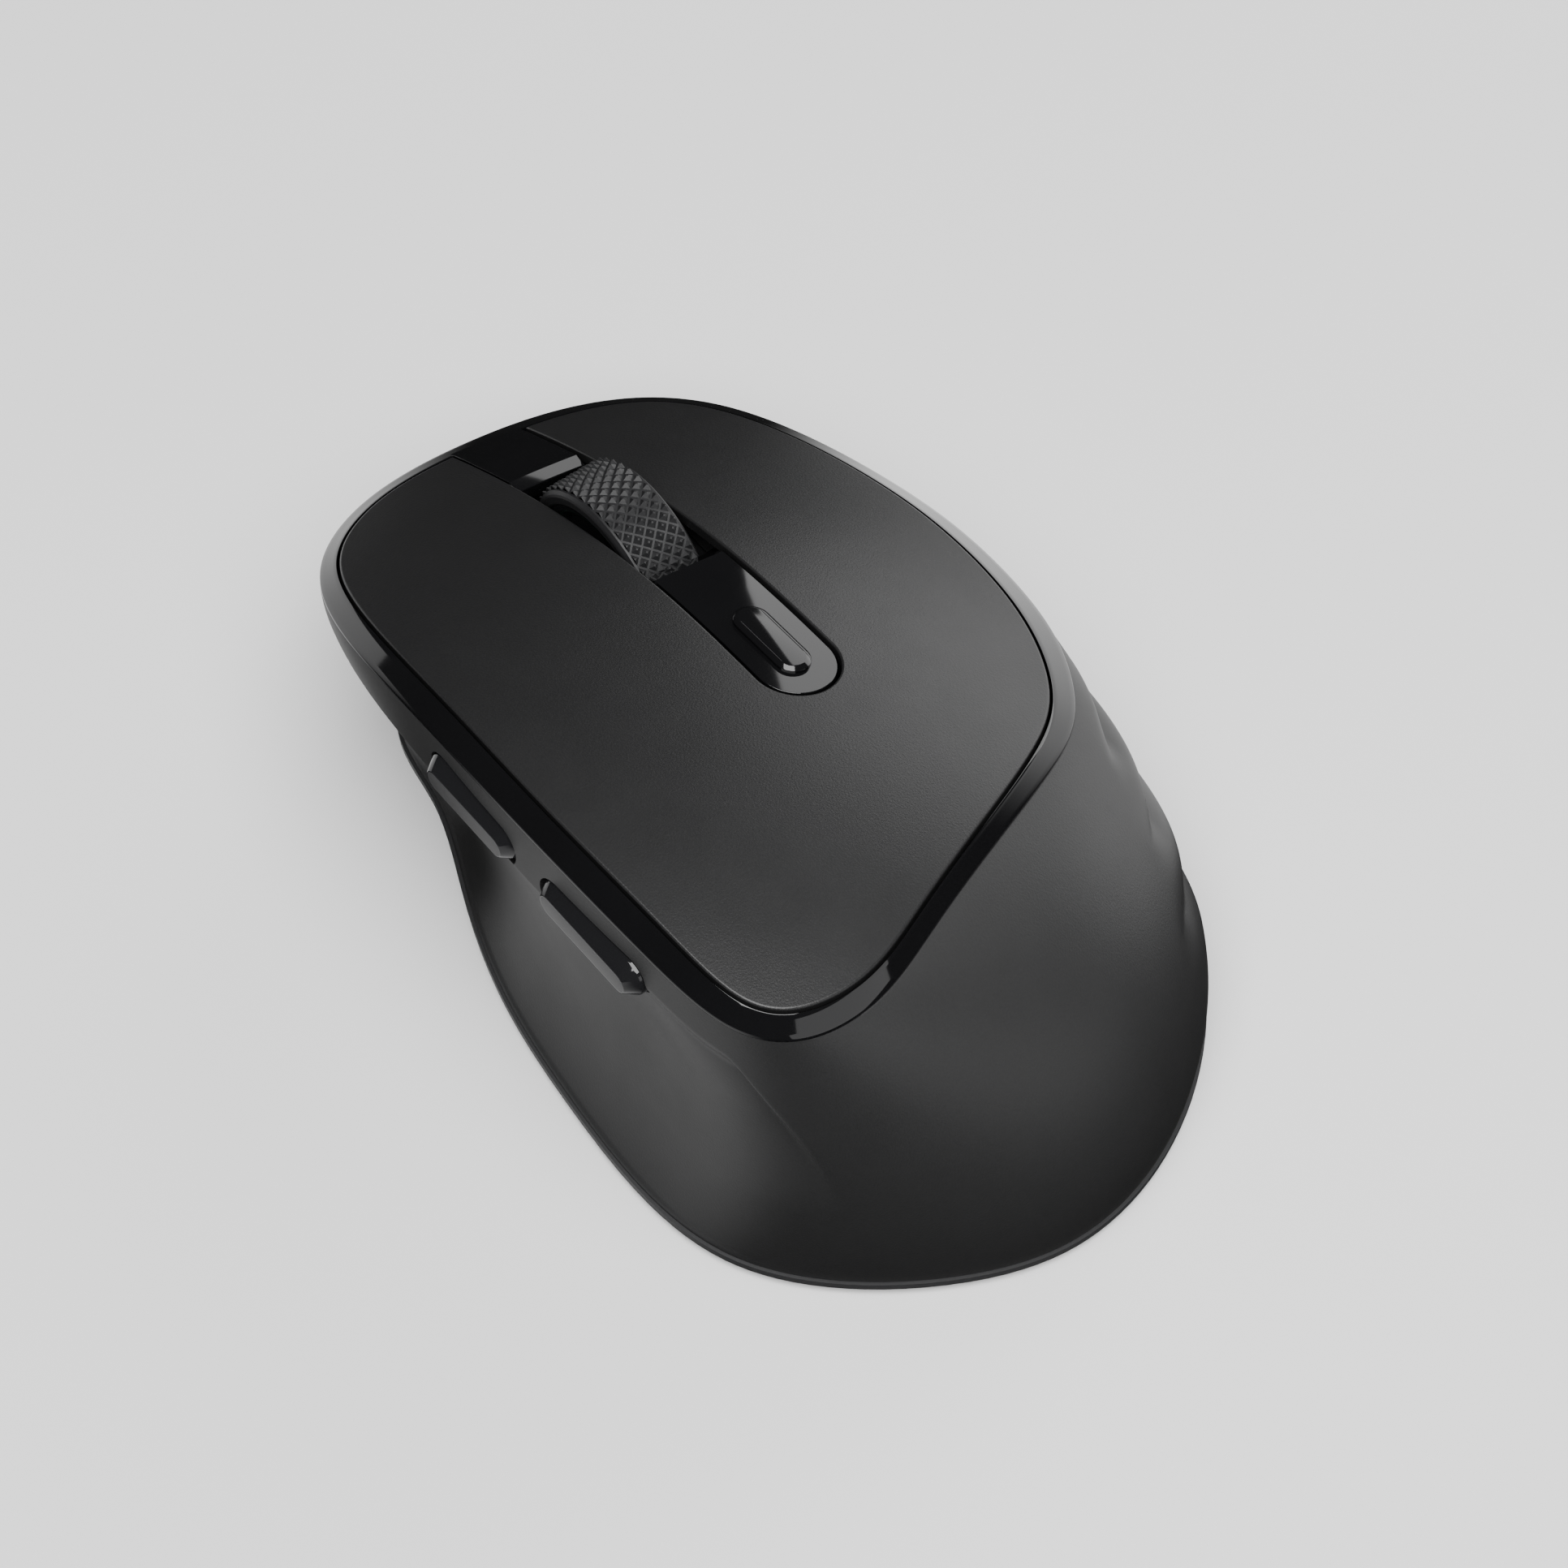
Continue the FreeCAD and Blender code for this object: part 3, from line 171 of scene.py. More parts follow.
dress(["battery_spring", "battery_tab"], metal("nickel plate", (0.62, 0.6, 0.56)))
dress(["receiver_plug"], metal("receiver steel", (0.66, 0.66, 0.67)))
dress(["usb_receiver"], moulded("receiver grip", (0.014, 0.014, 0.015), (0.022, 0.022, 0.023)))
SLEEVE = moulded("cell sleeve", (0.03, 0.09, 0.06), (0.04, 0.11, 0.075), (0.2, 0.28), 0.02, 1800.0)
dress(["battery"], SLEEVE)
dress(["battery_wires"], moulded("wire jacket", (0.26, 0.015, 0.015), (0.32, 0.02, 0.02), (0.38, 0.46),
                                 0.05, 1500.0))

# === Circuit boards and what is on them ==========================================================
# Two green FR4 boards stand on posts of the base, the lower with the optical sensor and the upper
# with the snap switches. A third stands behind the thumb buttons on its own bracket.
BOARD_MASK = moulded("green solder mask", (0.008, 0.07, 0.03), (0.012, 0.1, 0.045), (0.25, 0.36), 0.08,
                     900.0)
dress(["main_board", "upper_board", "side_board"], BOARD_MASK)
dress(["left_switch", "right_switch", "middle_switch", "dpi_switch", "side_switches", "optical_sensor",
       "controller_chip", "power_switch", "wheel_encoder"],
      moulded("component housing", (0.012, 0.012, 0.013), (0.024, 0.024, 0.025), (0.42, 0.5), 0.15,
              2600.0))
dress(["left_plunger", "right_plunger", "middle_plunger", "dpi_plunger", "forward_plunger",
       "back_plunger"],
      moulded("plunger acetal", (0.55, 0.53, 0.48), (0.62, 0.6, 0.55), (0.34, 0.42), 0.05, 2600.0))
dress(["board_ribbon"], moulded("ribbon film", (0.5, 0.5, 0.48), (0.6, 0.6, 0.58), (0.3, 0.4), 0.05,
                                1800.0))
dress(["ribbon_connectors"], moulded("connector nylon", (0.42, 0.4, 0.34), (0.5, 0.47, 0.4), (0.4, 0.5)))
dress(["crystal", "capacitor"], metal("drawn can", (0.7, 0.7, 0.7)))
dress(["case_screws", "upper_board_screws", "main_board_screws"], metal("screw zinc", (0.5, 0.5, 0.52)))
dress(["side_bracket", "pivot_posts", "power_slider"],
      moulded("inner moulding", (0.02, 0.02, 0.021), (0.032, 0.032, 0.034), (0.42, 0.52), 0.15, 3200.0))


def lens_plastic():
    """Clear acrylic with a slightly cloudy moulded skin."""
    material = bpy.data.materials.new("lens acrylic")
    material.use_nodes = True
    nodes, links = material.node_tree.nodes, material.node_tree.links
    shader = nodes["Principled BSDF"]
    shader.inputs["Base Color"].default_value = (0.9, 0.93, 0.95, 1.0)
    shader.inputs["Transmission Weight"].default_value = 0.9
    shader.inputs["IOR"].default_value = 1.49
    place, noise, spread = (nodes.new("ShaderNodeTexCoord"), nodes.new("ShaderNodeTexNoise"),
                            nodes.new("ShaderNodeMapRange"))
    noise.inputs["Scale"].default_value = 700.0
    spread.inputs["To Min"].default_value, spread.inputs["To Max"].default_value = 0.05, 0.16
    links.new(place.outputs["Object"], noise.inputs["Vector"])
    links.new(noise.outputs["Fac"], spread.inputs["Value"])
    links.new(spread.outputs["Result"], shader.inputs["Roughness"])
    return material


dress(["sensor_lens"], lens_plastic())

# === Scroll wheel ================================================================================
# A rubber tyre with small square pyramids on flat lands, moulded over a gloss black hub with
# dished sides. A steel axle carries it in a yoke that pivots near the nose.
FORWARD = 2.3
WHEEL_Y, WHEEL_Z = 27.0, 29.3
TYRE_RADIUS, TYRE_HALF = 12.5, 4.1
KNURL_HEIGHT, KNURL_HALF, KNURL_CELLS = 0.42, 3.45, 45


def piece(name, verts, faces, material, body, stands_for=(), weld=True):
    """New object in metres from points in millimetres about the drawing's datum, riding on a body."""
    mesh = bpy.data.meshes.new(name)
    mesh.from_pydata([(0.001 * x, 0.001 * (y + FORWARD), 0.001 * z) for x, y, z in verts], [], faces)
    mesh.materials.append(material)
    thing = bpy.data.objects.new(name, mesh)
    bpy.context.scene.collection.objects.link(thing)
    work = bmesh.new()
    work.from_mesh(mesh)
    if weld:
        bmesh.ops.remove_doubles(work, verts=work.verts, dist=0.000002)
    bmesh.ops.recalc_face_normals(work, faces=work.faces)
    work.to_mesh(mesh)
    work.free()
    if body:
        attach(thing, body)
    if stands_for:
        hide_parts(*stands_for)
    return thing


def round_wheel(profile, segments):
    """Ring about the wheel's axis from (x, radius) points, closed round its section."""
    verts, faces, n = [], [], len(profile)
    for k in range(segments):
        a = 2.0 * math.pi * k / segments
        verts += [(x, WHEEL_Y + r * math.sin(a), WHEEL_Z + r * math.cos(a)) for x, r in profile]
        m = (k + 1) % segments
        faces += [(k * n + j, k * n + (j + 1) % n, m * n + (j + 1) % n, m * n + j) for j in range(n)]
    return verts, faces


def knurl():
    """Flat strip of square pyramids set at 45 degrees, trimmed to the band, then rolled round."""
    land = TYRE_RADIUS - KNURL_HEIGHT
    half = math.pi * land / KNURL_CELLS
    work = bmesh.new()
    rows = int(KNURL_HALF / half) + 2
    for i in range(2 * KNURL_CELLS):
        for j in range(-rows, rows + 1):
            if (i + j) % 2:
                continue
            rings = []
            for size, lift in ((1.0, 0.0), (0.8, 0.0), (0.16, KNURL_HEIGHT)):
                rings.append([work.verts.new((j * half + size * half * dx, i * half + size * half * dy,
                                              lift))
                              for dx, dy in ((1, 0), (0, 1), (-1, 0), (0, -1))])
            for low, high in zip(rings, rings[1:]):
                for k in range(4):
                    work.faces.new((low[k], low[(k + 1) % 4], high[(k + 1) % 4], high[k]))
            work.faces.new(rings[-1])
    for x in (-KNURL_HALF, KNURL_HALF):
        everything = work.verts[:] + work.edges[:] + work.faces[:]
        bmesh.ops.bisect_plane(work, geom=everything, plane_co=(x, 0, 0),
                               plane_no=(math.copysign(1, x), 0, 0),
                               clear_outer=True)
    verts = []
    for v in work.verts:
        a = v.co.y / half * math.pi / KNURL_CELLS
        r = land + v.co.z
        verts.append((v.co.x, WHEEL_Y + r * math.sin(a), WHEEL_Z + r * math.cos(a)))
    work.verts.index_update()
    faces = [tuple(v.index for v in f.verts) for f in work.faces]
    work.free()
    return verts, faces


def tyre():
    verts, faces = knurl()
    land = TYRE_RADIUS - KNURL_HEIGHT
    side = [(KNURL_HALF, land), (KNURL_HALF + 0.25, land - 0.02), (TYRE_HALF - 0.12, land - 0.42),
            (TYRE_HALF, land - 0.7), (TYRE_HALF, 10.55), (TYRE_HALF - 0.2, 10.33)]
    inner = [(-x, r) for x, r in reversed(side)]
    segments, start = 180, len(verts)
    profile = side + inner
    n = len(profile)
    ring, _ = round_wheel(profile, segments)
    verts += ring
    for k in range(segments):
        m = (k + 1) % segments
        for j in range(n - 1):
            faces.append((start + k * n + j, start + k * n + j + 1, start + m * n + j + 1,
                          start + m * n + j))
    return verts, faces


def rubber():
    """Dark moulded rubber, its colour darkened in the grooves as painted shade and lighter on the peaks."""
    material = bpy.data.materials.new("tyre rubber")
    material.use_nodes = True
    nodes, links = material.node_tree.nodes, material.node_tree.links
    shader = nodes["Principled BSDF"]
    shader.inputs["IOR"].default_value = 1.5
    surface, painted_groove_shade = nodes.new("ShaderNodeGroup"), nodes.new("ShaderNodeNewGeometry")
    surface.node_tree = FINE_GRAIN
    surface.inputs["Scale"].default_value = 4200.0
    tint, spread = nodes.new("ShaderNodeMix"), nodes.new("ShaderNodeMapRange")
    tint.data_type = "RGBA"
    tint.inputs["A"].default_value = (0.006, 0.006, 0.0065, 1.0)
    tint.inputs["B"].default_value = (0.014, 0.014, 0.015, 1.0)
    spread.inputs["To Min"].default_value, spread.inputs["To Max"].default_value = 0.4, 0.52
    bump = nodes.new("ShaderNodeBump")
    bump.inputs["Strength"].default_value = 0.12
    bump.inputs["Distance"].default_value = 0.00003
    # Pointiness darkens the base colour in the grooves as painted shade and lightens it on the peaks.
    links.new(painted_groove_shade.outputs["Pointiness"], tint.inputs["Factor"])
    links.new(surface.outputs["Mottle"], spread.inputs["Value"])
    links.new(surface.outputs["Height"], bump.inputs["Height"])
    links.new(tint.outputs["Result"], shader.inputs["Base Color"])
    links.new(spread.outputs["Result"], shader.inputs["Roughness"])
    links.new(bump.outputs["Normal"], shader.inputs["Normal"])
    return material


tyre_piece = piece("rubber_tyre", *tyre(), rubber(), "wheel", ["scroll_tyre"])


def gloss(name, colour, roughness=(0.03, 0.07), wave=0.0):
    """Polished black plastic with a few faint rub marks."""
    material = bpy.data.materials.new(name)
    material.use_nodes = True
    nodes, links = material.node_tree.nodes, material.node_tree.links
    shader = nodes["Principled BSDF"]
    shader.inputs["IOR"].default_value = 1.52
    place, noise, spread = (nodes.new("ShaderNodeTexCoord"), nodes.new("ShaderNodeTexNoise"),
                            nodes.new("ShaderNodeMapRange"))
    noise.inputs["Scale"].default_value = 90.0
    noise.inputs["Detail"].default_value = 5.0
    spread.inputs["To Min"].default_value, spread.inputs["To Max"].default_value = roughness
    tint = nodes.new("ShaderNodeMix")
    tint.data_type = "RGBA"
    tint.inputs["A"].default_value = (*[0.7 * c for c in colour], 1.0)
    tint.inputs["B"].default_value = (*colour, 1.0)
    bump = nodes.new("ShaderNodeBump")
    bump.inputs["Strength"].default_value = wave
    bump.inputs["Distance"].default_value = 0.00001
    links.new(place.outputs["Object"], noise.inputs["Vector"])
    links.new(noise.outputs["Fac"], spread.inputs["Value"])
    links.new(noise.outputs["Fac"], tint.inputs["Factor"])
    links.new(noise.outputs["Fac"], bump.inputs["Height"])
    links.new(spread.outputs["Result"], shader.inputs["Roughness"])
    links.new(tint.outputs["Result"], shader.inputs["Base Color"])
    links.new(bump.outputs["Normal"], shader.inputs["Normal"])
    return material


HUB_GLOSS = gloss("hub gloss", (0.012, 0.012, 0.013), (0.12, 0.2))
hub_side = [(3.8, 10.28), (3.8, 9.6), (3.5, 9.1), (2.7, 8.2), (2.6, 4.0), (3.0, 3.5), (4.55, 3.0),
            (4.7, 2.8), (4.7, 1.3)]
hub_profile = hub_side + [(-x, r) for x, r in reversed(hub_side)]
hub_piece = piece("dished_hub", *round_wheel(hub_profile, 120), HUB_GLOSS, "wheel", ["wheel_hub"])
hub_piece.data.shade_smooth()
hub_piece.data.set_sharp_from_angle(angle=math.radians(38))
dress(["wheel_axle", "cradle_pin"], metal("ground axle steel", (0.6, 0.6, 0.61)))
dress(["wheel_cradle"], moulded("yoke plastic", (0.012, 0.012, 0.013), (0.02, 0.02, 0.021), (0.4, 0.5),
                                0.12, 3200.0))

# === Body shell ==================================================================================
# The palm and side shell: one ABS moulding about 1.8 mm thick with a soft matte coat. It has a
# thumb scoop with a crease and a step on the left, and three finger grooves on the right.
WALL, SHELL_FOOT = 1.8, 2.2
SCOOP_STEP, SCOOP_DEPTH = 1.2, 3.6
GROOVE_DEPTH, GROOVE_TOP, GROOVE_PITCH = 1.1, 0.255, 0.235

# top skin edge x y | rim outer edge x y | rim drop | foot x y | shoulder out, down | foot out, up
STATIONS = np.array([
    (0.0, 54.0, 0.0, 57.4, 0.9, 0.0, 54.0, 0.4, 7.0, 1.0, 7.0),
    (11.0, 53.6, 11.8, 57.0, 0.9, 11.0, 53.6, 0.4, 7.0, 1.0, 7.0),
    (19.5, 50.6, 21.3, 53.9, 1.1, 20.5, 51.0, 0.6, 7.0, 1.2, 7.0),
    (24.6, 43.8, 27.6, 46.4, 1.4, 28.8, 44.0, 1.2, 7.0, 1.8, 7.0),
    (27.2, 33.5, 30.7, 34.8, 1.8, 33.8, 33.5, 1.8, 7.0, 2.2, 8.0),
    (28.9, 20.9, 32.6, 21.6, 2.2, 36.8, 20.0, 2.2, 7.0, 2.4, 9.0),
    (30.0, 8.0, 33.9, 8.0, 2.4, 38.0, 5.0, 2.2, 7.0, 1.8, 10.0),
    (29.5, -3.5, 33.3, -4.4, 2.5, 37.1, -10.3, 2.6, 7.0, 1.4, 11.0),
    (27.3, -12.9, 30.7, -14.2, 2.4, 34.9, -24.6, 3.4, 6.0, 1.4, 13.0),
    (22.8, -21.1, 25.0, -23.0, 2.2, 30.2, -40.2, 6.4, 5.0, 1.6, 16.0),
    (15.2, -26.8, 16.5, -28.6, 2.1, 21.4, -51.6, 10.0, 4.0, 2.4, 19.0),
    (4.2, -31.9, 5.0, -33.6, 2.1, 8.5, -59.4, 12.0, 3.8, 2.8, 21.0),
    (-7.8, -36.9, -7.2, -38.6, 2.1, -6.0, -61.6, 10.0, 4.0, 2.8, 20.0),
    (-18.2, -40.7, -18.0, -42.6, 2.1, -19.2, -57.0, 7.0, 4.5, 2.6, 18.0),
    (-27.0, -40.4, -27.6, -42.5, 2.1, -29.8, -49.2, 3.6, 7.0, 1.8, 14.0),
    (-32.1, -35.4, -34.0, -36.8, 2.2, -36.8, -39.5, 1.6, 9.0, 0.8, 11.0),
    (-33.7, -24.0, -36.3, -24.6, 2.4, -39.2, -27.0, 0.7, 10.0, 0.2, 9.0),
    (-34.5, -8.0, -37.1, -8.2, 2.5, -38.4, -12.0, 0.4, 10.0, 0.0, 9.0),
    (-34.3, 8.0, -36.9, 8.0, 2.5, -36.2, 2.5, 0.4, 10.0, 0.0, 9.0),
    (-33.3, 23.0, -35.8, 23.4, 2.5, -31.6, 16.5, 0.4, 10.0, 0.0, 9.0),
    (-31.1, 36.0, -33.4, 37.0, 2.2, -26.2, 30.0, 0.3, 9.0, 0.2, 8.0),
    (-25.9, 46.3, -27.4, 48.3, 1.7, -23.2, 42.0, 0.3, 8.0, 0.5, 7.0),
    (-14.5, 52.7, -15.2, 55.4, 1.1, -12.5, 52.0, 0.4, 7.0, 0.8, 7.0),
])
LOOP = len(STATIONS)


def spline_weights(values):
    """Control rows of the closed cubic spline that passes through the stations."""
    n = len(values)
    matrix = np.eye(n) * 4.0 + np.roll(np.eye(n), 1, axis=0) + np.roll(np.eye(n), -1, axis=0)
    return np.linalg.solve(matrix / 6.0, values)


CONTROL = spline_weights(STATIONS)


def station(u):
    """Eleven station values at each loop position, on the last axis."""
    i = np.floor(u).astype(int)
    t = u - i
    weights = ((1 - t) ** 3 / 6, (3 * t ** 3 - 6 * t * t + 4) / 6,
               (-3 * t ** 3 + 3 * t * t + 3 * t + 1) / 6, t ** 3 / 6)
    return sum(w[..., None] * CONTROL[(i - 1 + j) % LOOP] for j, w in enumerate(weights))


def top_height(x, y):
    """Height of the top skin: hump along Y, falling toward the ring-finger side."""
    front = 43.61 - 0.00422 * y - 0.006786 * y * y + 0.00001835 * y ** 3
    rear = 43.15 - 0.1093 * (y - 8.0) - 0.0035 * (y - 8.0) ** 2
    return np.where(y > 8.0, front, rear) - 0.22 * x - 0.0037 * x * x


def smooth(t):
    t = np.clip(t, 0.0, 1.0)
    return t * t * (3.0 - 2.0 * t)


def outward(u, column):
    """Horizontal unit vectors pointing out of the plan curve in the given columns."""
    step = station(u + 0.02)[..., column:column + 2] - station(u - 0.02)[..., column:column + 2]
    size = np.hypot(step[..., 0], step[..., 1])
    return np.stack([-step[..., 1] / size, step[..., 0] / size], -1)


def relief(u, v):
    """Depth cut inward by the thumb scoop and the finger grooves."""
    crease = 0.215 + 0.02 * smooth((u - 19.0) / 2.0)
    behind = (u - (15.5 - 4.2 * v + 2.6 * v * v)) * 12.0
    below = (v - crease) * 46.0
    step = SCOOP_STEP * smooth(behind / 1.6) * smooth((below + 4.0) / 4.0) * (1.0 - smooth((v - 0.35) / 0.35))
    step = step * (1.0 - smooth((u - 16.0) / 1.2))
    s = np.clip(below / (46.0 * (1.0 - crease)), 0.0, 1.0)
    hollow = SCOOP_DEPTH * 4.0 * s * (1.0 - s) * smooth(behind / 30.0) * (1.0 - smooth((u - 19.6) / 2.4))
    phase = np.clip((v + 0.08 * (u - 8.5) - GROOVE_TOP) / GROOVE_PITCH, -0.5, 2.5)
    rear_fade = 1.0 - smooth((u - 8.135 - 2.2 * v) / 0.75)
    grooves = GROOVE_DEPTH * (1.0 - np.abs(np.sin(math.pi * phase))) * smooth((u - 5.2) / 1.2) * rear_fade
    return step + hollow + grooves


def plain_skin(u, v):
    s, out = station(u), outward(u, 2)
    top = top_height(s[..., 2], s[..., 3]) - s[..., 4] - 0.38
    corners = (
        np.stack([s[..., 2], s[..., 3], top], -1),
        np.stack([s[..., 2] + s[..., 7] * out[..., 0], s[..., 3] + s[..., 7] * out[..., 1],
                  top - s[..., 8]], -1),
        np.stack([s[..., 5] + s[..., 9] * out[..., 0], s[..., 6] + s[..., 9] * out[..., 1],
                  SHELL_FOOT + s[..., 10]], -1),
        np.stack([s[..., 5], s[..., 6], np.full(u.shape, SHELL_FOOT)], -1))
    weights = ((1 - v) ** 3, 3 * v * (1 - v) ** 2, 3 * v * v * (1 - v), v ** 3)
    return sum(w[..., None] * c for w, c in zip(weights, corners))


def normals_of(surface, u, v):
    across = surface(u + 0.03, v) - surface(u - 0.03, v)
    down = surface(u, np.clip(v + 0.01, 0, 1)) - surface(u, np.clip(v - 0.01, 0, 1))
    n = np.cross(across, down)
    return n / np.linalg.norm(n, axis=-1, keepdims=True)


def skin(u, v):
    depth = relief(np.mod(u, LOOP), v) * smooth(v / 0.04) * smooth((1.0 - v) / 0.03)
    return plain_skin(u, v) - normals_of(plain_skin, u, v) * depth[..., None]


def closed_grid(rows, ends=False):
    """Vertices and faces through loops of points stacked on the first axis."""
    count, around = rows.shape[:2]
    verts = rows.reshape(-1, 3)
    faces = []
    for j in range(count if ends else count - 1):
        k = (j + 1) % count
        faces += [(j * around + i, j * around + (i + 1) % around, k * around + (i + 1) % around,
                   k * around + i)
                  for i in range(around)]
    return [tuple(v) for v in verts], faces


def shell_rows(around, down):
    u, v = np.meshgrid(np.arange(around) * LOOP / around, np.linspace(0.0, 1.0, down + 1))
    outer = skin(u, v)
    coarse = v[::6]
    inner = skin(u[::6], coarse)
    n = normals_of(skin, u[::6], coarse)
    n[[0, -1], :, 2] = 0.0
    inner = inner - WALL * n / np.linalg.norm(n, axis=-1, keepdims=True)
    inner[0, :, 2], inner[-1, :, 2] = outer[0, :, 2], outer[-1, :, 2]
    return np.concatenate([outer, inner[::-1]])


SHELL_COAT = moulded("soft shell coat", (0.009, 0.009, 0.0093), (0.0155, 0.0155, 0.0158), (0.44, 0.52),
                     0.5, 4200.0)
shell_piece = piece("soft_shell", *closed_grid(shell_rows(LOOP * 30, 144), True), SHELL_COAT, "case",
                    ["body_shell"])


def pill_loop(length, width, steps=14):
    """Stadium outline in the plane, long way first."""
    half, r = (length - width) / 2.0, width / 2.0
    points = []
    for side, start in ((1, -math.pi / 2), (-1, math.pi / 2)):
        for k in range(steps + 1):
            a = start + math.pi * k / steps
            points.append((side * half + r * math.cos(a), r * math.sin(a)))
    return points


SIDE_BUTTON_Z, SIDE_BUTTON_HEIGHT = 37.85, 5.3
THUMB_BUTTONS = (("forward", -3.0, 13.0, -38.35), ("back", -25.3, -7.9, -38.45))


def side_rings(y0, y1, rings):
    """Stack of pill outlines along X: (x, growth) for each ring."""
    verts, faces = [], []
    for x, grow in rings:
        loop = pill_loop(y1 - y0 + 2 * grow, SIDE_BUTTON_HEIGHT + 2 * grow)
        verts += [(x, (y0 + y1) / 2 + a, SIDE_BUTTON_Z + b) for a, b in loop]
    n = len(verts) // len(rings)
    for j in range(len(rings) - 1):
        faces += [(j * n + i, j * n + (i + 1) % n, (j + 1) * n + (i + 1) % n,
                   (j + 1) * n + i) for i in range(n)]
    faces.append(tuple(range(n)))
    faces.append(tuple(range((len(rings) - 1) * n, len(rings) * n)))
    return verts, faces


def cut_with(thing, cutters, angle):
    """Take the cutters out of the piece for good and keep crisp edges crisp."""
    for cutter in cutters:
        modifier = thing.modifiers.new("cut", "BOOLEAN")
        modifier.object, modifier.operation, modifier.solver = cutter, "DIFFERENCE", "EXACT"
    shape = bpy.data.meshes.new_from_object(thing.evaluated_get(bpy.context.evaluated_depsgraph_get()))
    thing.modifiers.clear()
    thing.data = shape
    for cutter in cutters:
        bpy.data.objects.remove(cutter)
    shape.shade_smooth()
    shape.set_sharp_from_angle(angle=math.radians(angle))


cutters = []
for name, y0, y1, face in THUMB_BUTTONS:
    verts, faces = side_rings(y0, y1, ((-46.0, 0.3), (-30.0, 0.3)))
    cutters.append(piece(name + "_cutter", verts, faces, SHELL_COAT, None))
cut_with(shell_piece, cutters, 42.0)

# === Thumb buttons ===============================================================================
# Two long pill caps in openings of the left wall. The outer face is matte like the shell, and the
# wide bevel round it is polished.
BUTTON_FACE = moulded("thumb button face", (0.03, 0.03, 0.031), (0.045, 0.045, 0.046), (0.4, 0.48), 0.1,
                      5200.0)
BUTTON_GLOSS = gloss("thumb button gloss", (0.011, 0.011, 0.012), (0.05, 0.1))
for name, y0, y1, face in THUMB_BUTTONS:
    rings = ((face + 6.0, 0.0), (face + 1.62, 0.0), (face + 1.5, -0.05), (face + 0.1, -1.12),
             (face + 0.02, -1.22),
             (face, -1.32))
    verts, faces = side_rings(y0, y1, rings)
    cap = piece(name + "_cap", verts, faces, BUTTON_GLOSS, name + "_key", [name + "_button"])
    cap.data.materials.append(BUTTON_FACE)
    for polygon in cap.data.polygons:
        polygon.use_smooth = True
        if len(polygon.vertices) > 4 and polygon.center.x < 0.001 * (face + 0.5):
            polygon.material_index = 1
    cap.data.set_sharp_from_angle(angle=math.radians(24))

# === Gloss rim ===================================================================================
# One polished black moulding: a bevelled ring round the top skin that carries the nose piece in
# front of the wheel. It is glued to the shell's upper edge.
RIM_GLOSS = gloss("rim gloss", (0.005, 0.005, 0.0055), (0.03, 0.06))
COVER_GAP = 0.35


def plan_loop(u, column, push):
    s, out = station(u), outward(u, column)
    return s[..., column] + push * out[..., 0], s[..., column + 1] + push * out[..., 1]


def rim_rows(around):
    u = np.arange(around) * LOOP / around
    s = station(u)
    outer = np.stack([s[:, 2], s[:, 3], top_height(s[:, 2], s[:, 3]) - s[:, 4]], -1)
    x, y = plan_loop(u, 0, COVER_GAP)
    inner = np.stack([x, y, top_height(x, y) - 0.25], -1)
    across = (inner - outer) / np.linalg.norm(inner - outer, axis=-1, keepdims=True)
    down = np.array([0.0, 0.0, -1.0])
    face = [outer + across * 0.12 + (inner - outer - across * 0.24) * t for t in np.linspace(0.0, 1.0, 6)]
    soft_out = outer + across * 0.03 + down * 0.03
    soft_in = inner - across * 0.03 + down * 0.03
    floor = [inner + down * 2.2, outer + (inner - outer) * 0.6 + down * 1.2,
             outer + down * 0.3 + across * 0.4]
    rows = [outer + down * 0.3, outer + down * 0.12, soft_out] + face + [soft_in,
                                                                         inner + down * 0.12] + floor
    return np.stack(rows)


rim_piece = piece("gloss_rim", *closed_grid(rim_rows(LOOP * 24), True), RIM_GLOSS, "case", ["trim_frame"])
rim_piece.data.shade_smooth()
rim_piece.data.set_sharp_from_angle(angle=math.radians(60))

# === Centre strip and nose piece =================================================================
# Part of the rim moulding: a gloss tongue behind the wheel with a round end, where the DPI button
# sits, and a gloss nose piece in front. Both slope down to the wheel.
SLOT_HALF, SLOT_END_Y, STRIP_SINK = 5.25, -4.2, 0.35


